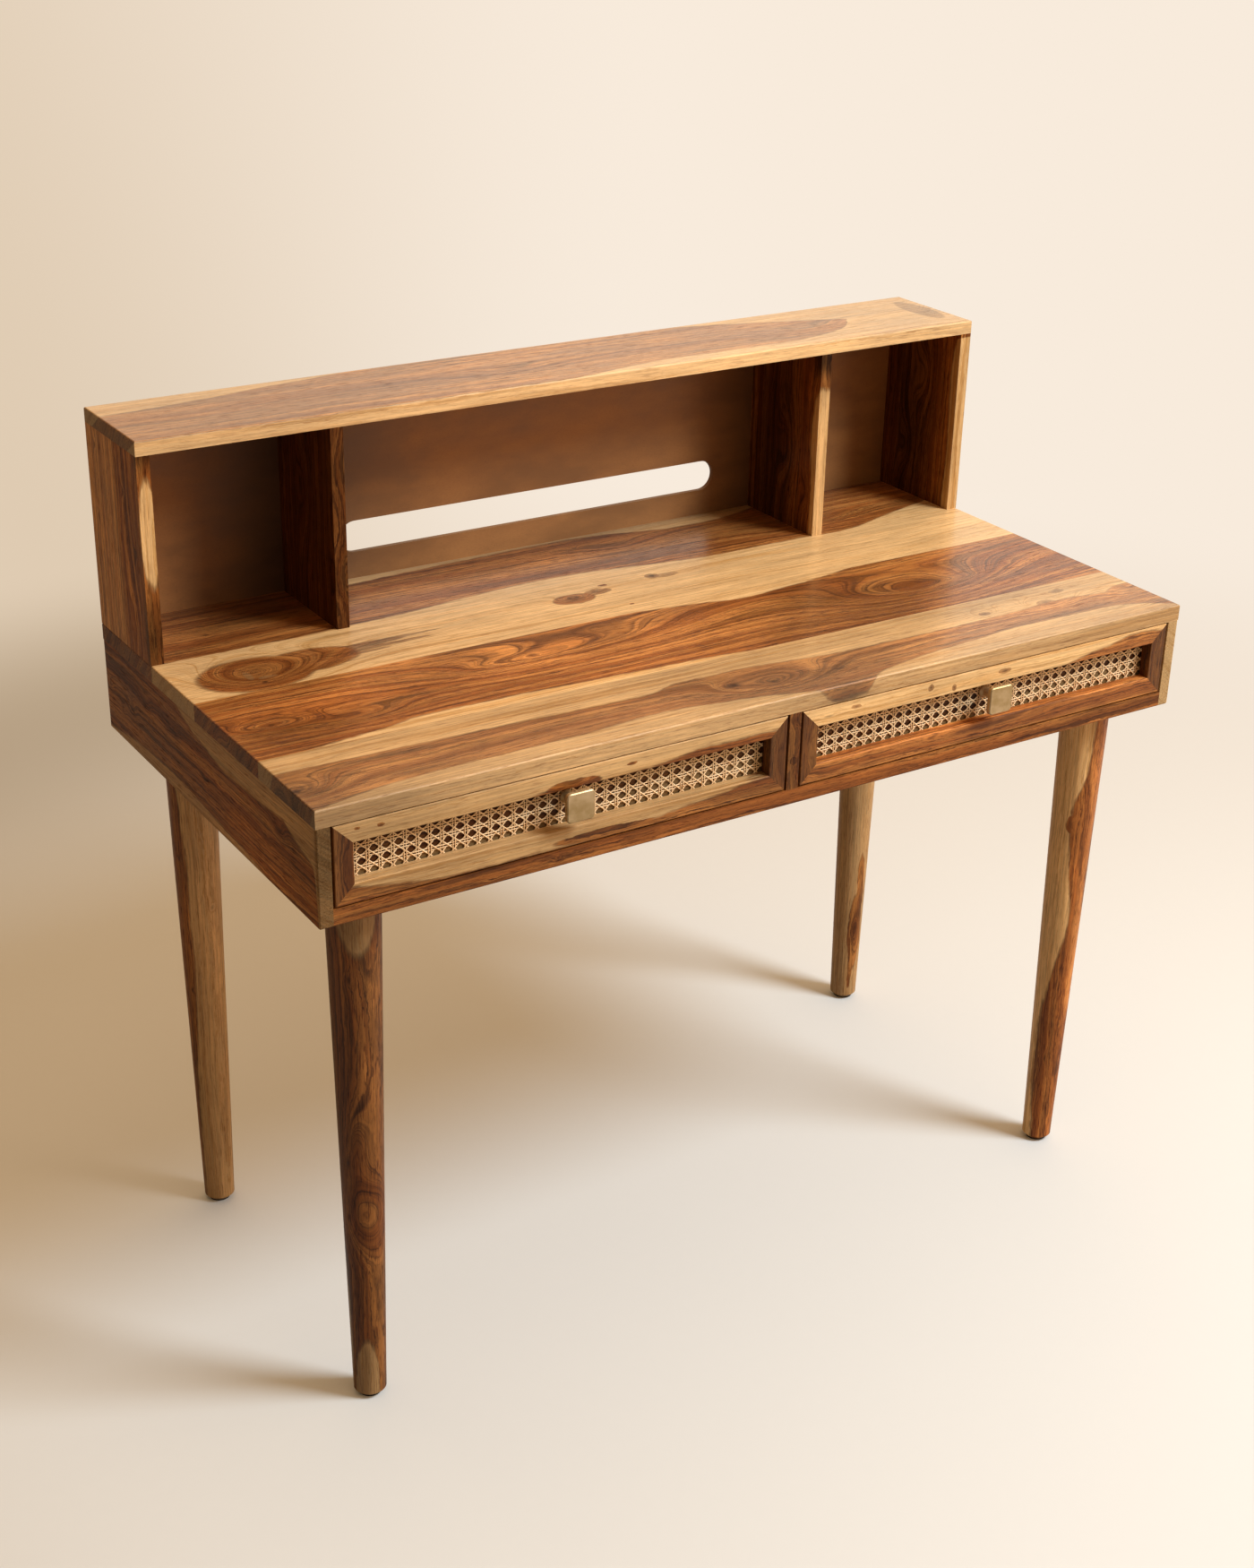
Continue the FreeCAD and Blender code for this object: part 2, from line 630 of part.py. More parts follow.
def frame_member(name, length, x, z, turn):
    """A mitred member of a drawer front: outer edge along local X, inner edge above it, rebated behind."""
    body = new_body(name)
    face = [
        (f"-{length} / 2", "0"),
        (f"{length} / 2", "0"),
        (f"{length} / 2 - frame_width", "frame_width"),
        (f"-{length} / 2 + frame_width", "frame_width"),
    ]
    face_sketch = outline(body, f"{name}_face", "XZ_Plane", face)
    stock = pad(body, face_sketch, f"{name}_stock", "frame_thickness", backwards=True)
    inner_half = f"({length} / 2 - frame_width)"
    rebate = [
        (f"-{inner_half} - cane_overlap", "frame_width - cane_overlap"),
        (f"{inner_half} + cane_overlap", "frame_width - cane_overlap"),
        (f"{inner_half}", "frame_width"),
        (f"{inner_half}", "frame_width + cut_overrun"),
        (f"-{inner_half}", "frame_width + cut_overrun"),
        (f"-{inner_half}", "frame_width"),
    ]
    rebate_sketch = outline(body, f"{name}_rebate_face", "XZ_Plane", rebate, "-cane_recess")
    cut_back = pocket(body, rebate_sketch, f"{name}_rebate", "frame_thickness - cane_recess")
    doc.recompute()
    if cut_back.Shape.Volume >= stock.Shape.Volume:
        raise RuntimeError(f"{name} has no rebate")
    rounding(body, cut_back, f"{name}_easing", "frame_easing",
             lambda bounds: near(bounds.YMax, 0) and near(bounds.ZLength, 0))
    place(body, x, FRONT, z, turn)
    keep(body)


def cane_panel(name, centre):
    """A sheet of cane as one holed face: a square grid of eight-sided gaps, one of them at the knob."""
    edge = sheet.frame_width - sheet.cane_overlap + sheet.fit_clearance
    half_width = value(DRAWER_WIDTH) / 2 - edge
    low = edge - sheet.knob_rise
    high = value(DRAWER_HEIGHT) - edge - sheet.knob_rise
    wires = [flat_loop([(-half_width, low), (half_width, low), (half_width, high), (-half_width, high)])]
    columns = gaps_within(half_width, sheet.cane_hole_width, sheet.cane_column_pitch)
    rows_below = gaps_within(-low, sheet.cane_hole_height, sheet.cane_row_pitch)
    rows_above = gaps_within(high, sheet.cane_hole_height, sheet.cane_row_pitch)
    for column in range(-columns, columns + 1):
        for row in range(-rows_below, rows_above + 1):
            x = column * sheet.cane_column_pitch
            z = row * sheet.cane_row_pitch
            wires.append(flat_loop([(x + dx, z + dz) for dx, dz in gap_corners()]))
    panel = doc.addObject("Part::Feature", name)
    holed_face = Part.makeFace(wires, "Part::FaceMakerBullseye")
    panel.Shape = holed_face.extrude(Vector(0, sheet.cane_thickness, 0))
    place(panel, centre, f"{FRONT} + cane_recess", KNOB_AXIS)
    keep(panel)


def gaps_within(reach, hole, pitch):
    """How many gaps fit between the middle gap and a border at this reach."""
    return math.floor((reach - sheet.cane_margin - hole / 2) / pitch)


def gap_corners():
    """Corners of one gap; across its flats it measures the hole's width and height."""
    reach = 1 / math.cos(math.pi / GAP_CORNERS)
    half_width = sheet.cane_hole_width / 2 * reach
    half_height = sheet.cane_hole_height / 2 * reach
    turns = corner_turns(GAP_CORNERS)
    return [(half_width * math.cos(turn), half_height * math.sin(turn)) for turn in turns]


def flat_loop(points):
    corners = [Vector(x, 0, z) for x, z in points]
    return Part.makePolygon(corners + corners[:1])


def value(formula):
    """What a formula of the sizes comes to."""
    return sheet.evalExpression(cells(formula))


def knob(name, centre):
    """A square-faced knob with a round neck and flange, bored for its screw."""
    body = new_body(name)
    bore = "knob_screw_radius + fit_clearance"
    bore_end = "knob_screw_bite + fit_clearance"
    head_base = "knob_height - knob_head_thickness"
    profile = [
        (bore, "0"),
        ("knob_flange_radius", "0"),
        ("knob_flange_radius", "knob_flange_thickness"),
        ("knob_neck_radius", "knob_flange_radius - knob_neck_radius + knob_flange_thickness"),
        ("knob_neck_radius", head_base),
        ("0", head_base),
        ("0", bore_end),
        (bore, bore_end),
    ]
    turning(body, outline(body, f"{name}_neck_profile", "XZ_Plane", profile), f"{name}_neck")
    half = "knob_width / 2"
    square = [(f"-{half}", f"-{half}"), (half, f"-{half}"), (half, half), (f"-{half}", half)]
    head_sketch = outline(body, f"{name}_head_face", "XY_Plane", square, head_base)
    head = pad(body, head_sketch, f"{name}_head", "knob_head_thickness")
    thickness = sheet.get("knob_head_thickness")
    corners = rounding(body, head, f"{name}_corners", "knob_corner_radius",
                       lambda bounds: near(bounds.ZLength, thickness) and near(bounds.XLength, 0))
    chamfer(body, corners, f"{name}_face_chamfer", "knob_face_chamfer",
            lambda bounds: near(bounds.ZMin, sheet.knob_height))
    place(body, centre, f"{FRONT} + cane_recess", KNOB_AXIS, TURNS["-y"])
    keep(body)


def knob_screw(name, centre):
    """The knob's machine screw from inside the drawer, and the hole for it."""
    start = (centre, INNER_FRONT_BACK, KNOB_AXIS)
    length = "(inner_front_thickness + frame_thickness - cane_recess + knob_screw_bite)"
    head = shank(f"{name}_head", "knob_screw_head_radius", "knob_screw_head_thickness", start, "y")
    stem = shank(f"{name}_stem", "knob_screw_radius", length, start, "-y")
    keep(fuse(name, [head, stem]))
    deep_start = shifted(start, "y", "cut_overrun")
    hole_length = f"{length} + cut_overrun"
    return shank(f"{name}_hole", "knob_screw_radius + fit_clearance", hole_length, deep_start, "-y")


def drawer(side, centre):
    """A drawer: mitred caned front, box on side runners, and knob."""
    name = f"{side}_drawer"
    half_width = f"({DRAWER_WIDTH} / 2)"
    middle = f"({DRAWER_BASE} + {DRAWER_HEIGHT} / 2)"
    upright = Rotation(Vector(0, 1, 0), 90)
    frame_member(f"{name}_front_bottom_rail", DRAWER_WIDTH, centre, DRAWER_BASE, Rotation())
    frame_member(f"{name}_front_top_rail", DRAWER_WIDTH, centre, f"{DRAWER_BASE} + {DRAWER_HEIGHT}",
                 Rotation(Vector(0, 1, 0), 180))
    frame_member(f"{name}_front_left_stile", DRAWER_HEIGHT, f"{centre} - {half_width}", middle, upright)
    frame_member(f"{name}_front_right_stile", DRAWER_HEIGHT, f"{centre} + {half_width}", middle,
                 upright.inverted())
    cane_panel(f"{name}_cane_panel", centre)
    knob(f"{name}_knob", centre)
    screw_hole = knob_screw(f"{name}_knob_screw", centre)
    drawer_box(name, centre, screw_hole)


def drawer_box(name, centre, screw_hole):
    """Inner front, sides, back and bottom of a drawer, housed in one another."""
    left = f"({centre} - {BOX_WIDTH} / 2)"
    inner_left = f"({left} + box_side_thickness)"
    bottom_base = f"({BOX_BASE} + box_bottom_rise)"
    bottom_top = f"({bottom_base} + box_bottom_thickness)"
    panel_width = f"({BOX_INNER_WIDTH} + 2 * box_housing - 2 * fit_clearance)"
    panel_left = f"({inner_left} - box_housing + fit_clearance)"
    panel_front = f"({INNER_FRONT_BACK} - box_housing + fit_clearance)"
    panel = box(f"{name}_bottom", (panel_width, f"{BOX_END} - {panel_front}", "box_bottom_thickness"),
                (panel_left, panel_front, bottom_base))
    keep(panel)

    groove_width = f"({BOX_INNER_WIDTH} + 2 * box_housing)"
    groove_left = f"({inner_left} - box_housing)"
    groove_length = f"{BOX_END} - {INNER_FRONT_BACK} + box_housing + cut_overrun"
    groove = box(f"{name}_bottom_groove", (groove_width, groove_length, "box_bottom_thickness"),
                 (groove_left, f"{INNER_FRONT_BACK} - box_housing", bottom_base))

    side_length = f"({BOX_END} - {BOX_SIDE_FRONT})"
    rebates = []
    sides = {"left": left, "right": f"({left} + {BOX_WIDTH} - box_side_thickness)"}
    for side, x in sides.items():
        lap_size = ("box_side_thickness", "box_housing + cut_overrun", "box_height")
        rebates.append(box(f"{name}_{side}_lap", lap_size, (x, BOX_SIDE_FRONT, BOX_BASE)))
    stock = box(f"{name}_inner_front_stock", (BOX_WIDTH, "inner_front_thickness", "box_height"),
                (left, FRAME_BACK, BOX_BASE))
    keep(cut(f"{name}_inner_front", stock, [groove, screw_hole] + rebates))

    back_front = f"({BOX_END} - box_back_thickness)"
    back_height = f"{BOX_TOP} - {bottom_top}"
    back = box(f"{name}_back", (groove_width, "box_back_thickness", back_height),
               (groove_left, back_front, bottom_top))
    keep(back)
    housing = box(f"{name}_back_housing", (groove_width, "box_back_thickness + cut_overrun", back_height),
                  (groove_left, back_front, bottom_top))

    bite = "(runner_width - box_side_gap + runner_side_play)"
    groove_base = f"({RUNNER_BASE} - runner_clearance)"
    groove_front = f"({RUNNER_FRONT} - runner_clearance)"
    run = f"{BOX_END} - {groove_front} + cut_overrun"
    tall = "runner_height + 2 * runner_clearance"
    groove_lefts = {"left": f"{left} - cut_overrun", "right": f"{left} + {BOX_WIDTH} - {bite}"}
    for side, x in sides.items():
        stock = box(f"{name}_{side}_side_stock", ("box_side_thickness", side_length, "box_height"),
                    (x, BOX_SIDE_FRONT, BOX_BASE))
        runner_groove = box(f"{name}_{side}_runner_groove", (f"{bite} + cut_overrun", run, tall),
                            (groove_lefts[side], groove_front, groove_base))
        keep(cut(f"{name}_{side}_side", stock, [runner_groove, groove, housing]))


def write():
    """Check every object, then write each piece to its own file."""
    doc.recompute()
    failed = [item.Name for item in doc.Objects if "Invalid" in item.State or "Error" in item.State]
    if failed:
        raise RuntimeError(f"objects failed: {failed}")
    os.makedirs("parts", exist_ok=True)
    for item in pieces:
        if item.Shape.isNull() or not item.Shape.isValid():
            raise RuntimeError(f"{item.Label} has no valid shape")
    for item in pieces:
        item.Shape.exportStep(f"parts/{item.Label}.step")


case()
legs()
for drawer_side, bay_centre in mirrored(BAY_CENTRE):
    drawer(drawer_side, bay_centre)
write()
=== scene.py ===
"""Looks of the writing desk: figured sheesham, woven cane, brass knobs and a plain warm studio."""

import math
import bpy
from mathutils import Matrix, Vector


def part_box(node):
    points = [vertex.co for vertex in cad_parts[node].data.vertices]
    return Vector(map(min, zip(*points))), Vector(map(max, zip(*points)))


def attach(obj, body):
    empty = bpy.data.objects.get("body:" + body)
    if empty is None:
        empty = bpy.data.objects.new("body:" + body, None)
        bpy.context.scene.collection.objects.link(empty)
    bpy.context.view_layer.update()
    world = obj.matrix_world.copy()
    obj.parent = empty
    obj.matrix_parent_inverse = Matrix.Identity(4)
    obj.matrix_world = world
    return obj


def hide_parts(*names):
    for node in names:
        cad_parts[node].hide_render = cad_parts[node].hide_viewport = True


bl_info = {
    "name": "Sheesham Writing Desk",
    "version": (1, 0, 0),
    "blender": (4, 5, 0),
    "location": "3D View > Sidebar > Desk",
    "description": "Finishes the solids of a writing desk and sets up its studio",
    "category": "Object",
}

from collections import namedtuple

import bpy
from bpy.props import FloatProperty, FloatVectorProperty, PointerProperty
from mathutils import Matrix, Vector

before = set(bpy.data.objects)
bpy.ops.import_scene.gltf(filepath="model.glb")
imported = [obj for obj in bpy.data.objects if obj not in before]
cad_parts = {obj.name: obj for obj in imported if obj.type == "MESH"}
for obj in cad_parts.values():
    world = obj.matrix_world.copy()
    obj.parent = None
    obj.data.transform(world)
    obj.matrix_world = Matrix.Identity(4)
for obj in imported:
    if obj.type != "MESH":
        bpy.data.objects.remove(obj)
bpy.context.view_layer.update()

MM = 0.001

# Height of the picture in pixels, and the width of the camera's sensor in millimetres
IMAGE_HEIGHT = 1750
SENSOR = 36.0

# The usual curve from written colours to linear ones: its straight foot, and its power above that
FOOT_END = 0.04045
FOOT_SLOPE = 12.92
CURVE_SHIFT = 0.055
CURVE_POWER = 2.4


def linear(code):
    """A written hex colour as the linear colour that shaders take."""
    parts = [part / 255 for part in bytes.fromhex(code[1:])]
    return tuple(part / FOOT_SLOPE if part <= FOOT_END
                 else ((part + CURVE_SHIFT) / (1 + CURVE_SHIFT)) ** CURVE_POWER for part in parts)


def colour(name, description, code):
    """A colour that the user can change."""
    return FloatVectorProperty(name=name, description=description, subtype="COLOR", size=3,
                               min=0, max=1, default=linear(code))


def length(name, description, default):
    """A length in metres that the user can change."""
    return FloatProperty(name=name, description=description, subtype="DISTANCE", unit="LENGTH",
                         min=0, precision=5, default=default)


def share(name, description, default):
    """A share of one that the user can change."""
    return FloatProperty(name=name, description=description, subtype="FACTOR", min=0, max=1, default=default)


def angle(name, description, degrees):
    """An angle that the user can change."""
    return FloatProperty(name=name, description=description, subtype="ANGLE", default=math.radians(degrees))


def power(name, description, watts):
    """A lamp's power that the user can change."""
    return FloatProperty(name=name, description=description, unit="POWER", min=0, default=watts)


def strength(name, description, default):
    """The strength of a light that the user can change."""
    return FloatProperty(name=name, description=description, min=0, default=default)


class DeskWood(bpy.types.PropertyGroup):
    """Colours and surface of the lacquered sheesham."""

    heart: colour("Heartwood", "Body colour of the heartwood", "#a15b26")
    glow: colour("Heartwood glow", "Lighter orange bands in the heartwood", "#c8813f")
    streak: colour("Heartwood streak", "Dark growth lines in the heartwood", "#43200d")
    sap: colour("Sapwood", "Body colour of the pale sapwood", "#ebbc7e")
    sap_line: colour("Sapwood line", "Growth lines in the sapwood", "#c98f4a")
    knot: colour("Knot", "Core of the knots", "#2b1208")
    pore: colour("Pore", "How the open pores darken the wood", "#a08268")
    end_tone: share("End grain", "How bright the end grain is beside the faces", 0.6)
    gloss: share("Lacquer", "Weight of the clear lacquer coat", 0.28)
    satin: share("Satin", "How much of the lacquer is left on the satin boards", 0.4)
    dull: share("Dull", "How much of the lacquer is left on the dull boards", 0.12)
    coat_roughness: share("Lacquer roughness", "Roughness of the clear lacquer coat", 0.2)


class DeskCane(bpy.types.PropertyGroup):
    """Sizes and colours of the woven cane in the drawer fronts."""

    column_pitch: length("Column pitch", "Distance between upright pairs of strands", 13.3 * MM)
    row_pitch: length("Row pitch", "Distance between level pairs of strands", 11.5 * MM)
    pair_gap: length("Pair spacing", "Distance between the two strands of a pair", 2.7 * MM)
    strand_width: length("Strand width", "Width of the upright and level strands", 1.3 * MM)
    slant_width: length("Slanting strand width", "Width of the slanting strands", 1.5 * MM)
    strand_thickness: length("Strand thickness", "Thickness of one strand", 0.5 * MM)
    row_drop: length("Row drop", "How far a row of gaps lies below the knob's axis", 4.3 * MM)
    pale: colour("Straw", "Body colour of the cane", "#fdd7a4")
    dark: colour("Straw shade", "Darker flecks and strand edges", "#d8a061")


class DeskFittings(bpy.types.PropertyGroup):
    """Colours of the metal parts, the back board and the glides."""

    brass: colour("Brass", "Satin brass of the knobs", "#cfb188")
    brass_shade: colour("Brass shade", "Tarnished brass in the brushing", "#ad8f60")
    steel: colour("Steel", "Zinc plated steel of the fixings", "#b9bcc0")
    board: colour("Back board", "Stained thin board of the hutch back", "#9a6632")
    board_shade: colour("Back board shade", "Darker mottling of the back board", "#7a4e22")
    glide: colour("Glide", "Black plastic of the foot glides", "#15120f")


class DeskStage(bpy.types.PropertyGroup):
    """Camera, light and floor of the studio."""

    camera_place: FloatVectorProperty(name="Camera place", description="Where the camera stands",
                                      subtype="TRANSLATION", unit="LENGTH",
                                      default=(-1.3127, -1.9808, 1.6623))
    camera_turn: angle("Camera azimuth", "Turn of the view about the upright axis", -32.799)
    camera_rise: angle("Camera elevation", "How far the camera looks down", 25.311)
    camera_roll: angle("Camera roll", "Tilt of the picture", 1.278)
    focal_pixels: FloatProperty(name="Focal length", description="Focal length in pixels of the picture",
                                subtype="PIXEL", default=2504.5)
    floor: colour("Floor", "Colour of the pale floor", "#dcdad3")
    bounce: share("Floor bounce", "How much of the floor's light reaches the desk", 0.4)
    backdrop: colour("Backdrop", "Colour of the far background", "#f8ebdc")
    # Shade and dusk are colours that the floor glows in on the dim left: painted shade for the desk's shadow
    # and for a dimmer left side
    shade: colour("Shade", "Colour of the near background on the dim left", "#8c7048")
    dusk: colour("Dusk", "Colour of the far background on the dim left", "#dfcbb2")
    key_colour: colour("Key colour", "Colour of the large soft lamp", "#deefff")
    key_power: power("Key light", "Power of the large soft lamp", 186)
    fill_colour: colour("Fill colour", "Colour of the low soft lamp", "#ffdcb6")
    fill_power: power("Fill light", "Power of the low soft lamp", 21)
    ambient_colour: colour("Ambient colour", "Colour of the light from all round", "#ffd9ac")
    ambient: strength("Ambient", "Strength of the light from the bright side", 1.1)
    dim: strength("Dim side", "Strength of the light from the dim side", 0.13)


# A noise: its waves per metre along three axes, how many finer layers it has and how strong those are
Noise = namedtuple("Noise", "waves detail roughness", defaults=(2.0, 0.5))

# A smooth step: the two marks between which it runs, and the values that it runs between
Step = namedtuple("Step", "start end low high", defaults=(0.0, 1.0))

# Middle of a noise's range, from which it swings both ways
NOISE_MIDDLE = 0.5

# Height of a drawn curve at which its line lies on the board's edge
CURVE_MIDDLE = 0.5

# The wide part of a noise's range, for soft clouds of tone
SOFT = Step(0.3, 0.7)

# Sockets of the mix node, for numbers and for colours: factor, first and second
NUMBER_SOCKETS = (0, 2, 3)
COLOUR_SOCKETS = (0, 6, 7)
COLOUR_RESULT = 2


class Tree:
    """Short ways to add nodes to a shader tree and link them."""

    def __init__(self, tree):
        self.tree = tree

    def node(self, kind, **settings):
        made = self.tree.nodes.new(kind)
        for key, setting in settings.items():
            setattr(made, key, setting)
        return made

    def feed(self, socket, source):
        """Link a socket to an output, or set it to a constant."""
        if isinstance(source, bpy.types.NodeSocket):
            self.tree.links.new(source, socket)
        elif socket.type == "RGBA" and len(source) == 3:
            socket.default_value = (*source, 1)
        else:
            socket.default_value = source

    def math(self, operation, *sources):
        made = self.node("ShaderNodeMath", operation=operation)
        for socket, source in zip(made.inputs, sources):
            self.feed(socket, source)
        return made.outputs[0]

    def times(self, first, second):
        return self.math("MULTIPLY", first, second)

    def vector(self, operation, first, second):
        made = self.node("ShaderNodeVectorMath", operation=operation)
        self.feed(made.inputs[0], first)
        self.feed(made.inputs[1], second)
        return made.outputs["Value" if operation == "DOT_PRODUCT" else "Vector"]

    def length(self, source):
        made = self.node("ShaderNodeVectorMath", operation="LENGTH")
        self.feed(made.inputs[0], source)
        return made.outputs["Value"]

    def combine(self, x, y, z):
        made = self.node("ShaderNodeCombineXYZ")
        for socket, source in zip(made.inputs, (x, y, z)):
            self.feed(socket, source)
        return made.outputs[0]

    def split(self, source):
        made = self.node("ShaderNodeSeparateXYZ")
        self.feed(made.inputs[0], source)
        return made.outputs[0], made.outputs[1], made.outputs[2]

    def noise(self, place, noise):
        made = self.node("ShaderNodeTexNoise")
        self.feed(made.inputs["Vector"], self.vector("MULTIPLY", place, noise.waves))
        made.inputs["Scale"].default_value = 1
        made.inputs["Detail"].default_value = noise.detail
        made.inputs["Roughness"].default_value = noise.roughness
        return made.outputs[0]

    def swing(self, place, noise, reach):
        """A noise that swings both ways about zero, as far as half its reach."""
        return self.times(self.math("SUBTRACT", self.noise(place, noise), NOISE_MIDDLE), reach)

    def ramp(self, source, step):
        made = self.node("ShaderNodeMapRange", interpolation_type="SMOOTHSTEP")
        for socket, given in zip(made.inputs, (source, *step)):
            self.feed(socket, given)
        return made.outputs[0]

    def blend(self, factor, first, second):
        """Mix of two numbers."""
        made = self.node("ShaderNodeMix", data_type="FLOAT")
        for index, source in zip(NUMBER_SOCKETS, (factor, first, second)):
            self.feed(made.inputs[index], source)
        return made.outputs[0]

    def tint(self, factor, first, second, kind="MIX"):
        """Mix of two colours."""
        made = self.node("ShaderNodeMix", data_type="RGBA", blend_type=kind)
        for index, source in zip(COLOUR_SOCKETS, (factor, first, second)):
            self.feed(made.inputs[index], source)
        return made.outputs[COLOUR_RESULT]

    def shaded(self, colours, light):
        """A colour made lighter or darker by a value."""
        return self.tint(1.0, colours, self.combine(light, light, light), "MULTIPLY")

    def curve(self, source, points):
        """A drawn curve through points between 0 and 1."""
        made = self.node("ShaderNodeFloatCurve")
        self.feed(made.inputs["Value"], source)
        line = made.mapping.curves[0]
        while len(line.points) < len(points):
            line.points.new(CURVE_MIDDLE, CURVE_MIDDLE)
        for point, place in zip(line.points, points):
            point.location = place
            point.handle_type = "AUTO_CLAMPED"
        made.mapping.update()
        return made.outputs[0]

    def group(self, name, **sources):
        made = self.node("ShaderNodeGroup")
        made.node_tree = bpy.data.node_groups[name]
        for label, source in sources.items():
            self.feed(made.inputs[label], source)
        return made.outputs

    def place(self):
        """The point on the piece in the desk's own frame."""
        return self.node("ShaderNodeTexCoord").outputs["Object"]


def new_group(name, inputs, outputs):
    """An empty node group with its sockets; returns its tree, what comes in and what goes out."""
    made = bpy.data.node_groups.new(name, "ShaderNodeTree")
    for label, kind in inputs.items():
        made.interface.new_socket(label, in_out="INPUT", socket_type=f"NodeSocket{kind}")
    for label, kind in outputs.items():
        made.interface.new_socket(label, in_out="OUTPUT", socket_type=f"NodeSocket{kind}")
    tree = Tree(made)
    return tree, tree.node("NodeGroupInput").outputs, tree.node("NodeGroupOutput").inputs


def new_material(name):
    """A material with its own tree and main shader."""
    made = bpy.data.materials.new(name)
    made.use_nodes = True
    return made, Tree(made.node_tree), made.node_tree.nodes["Principled BSDF"]


def finish(tree, shader, colours, roughness, height=None, depth=None, relief=0.5):
    """Link colour, roughness and relief to the main shader."""
    tree.feed(shader.inputs["Base Color"], colours)
    tree.feed(shader.inputs["Roughness"], roughness)
    if height is not None:
        bump = tree.node("ShaderNodeBump")
        bump.inputs["Strength"].default_value = relief
        bump.inputs["Distance"].default_value = depth
        tree.feed(bump.inputs["Height"], height)
        tree.feed(shader.inputs["Normal"], bump.outputs[0])


def paint(material, *nodes):
    """Give CAD nodes a material."""
    for node in nodes:
        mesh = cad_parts[node].data
        mesh.materials.clear()
        mesh.materials.append(material)


# Reach in millimetres of what runs through the whole depth of a board
ENDLESS = 10000

# A knot, burl or fleck in a board, in millimetres from the board's corner: its place, how far it reaches
# along and across the grain, how far it lifts the growth layers, how dark its core is, how far it is of
# heartwood (up to 1) or of sapwood (down to -1), and its place and reach in depth
Knot = namedtuple("Knot", "along across reach spread swirl core wood deep through",
                  defaults=(0, 0, 1, 0, ENDLESS))

# A soft patch of a board that is lighter, or darker where its gain is below zero, in the same measures
Patch = namedtuple("Patch", "along across reach spread gain")

# One stave of a board: where it ends across the grain, the two lines between which it is heartwood, its
# knots, its tone, how far its sapwood and its heartwood take the heartwood's colour, its soft patches, how
# far the two lines lean with depth, and the depth of the face that they are drawn on
Stave = namedtuple("Stave", "end low high knots tone stain rich patches lean face",
                   defaults=((), (), (), 1.0, 0.06, 1.0, (), 0, 0))

# A board: how far it runs along and across the grain, and its staves
Board = namedtuple("Board", "run width staves")

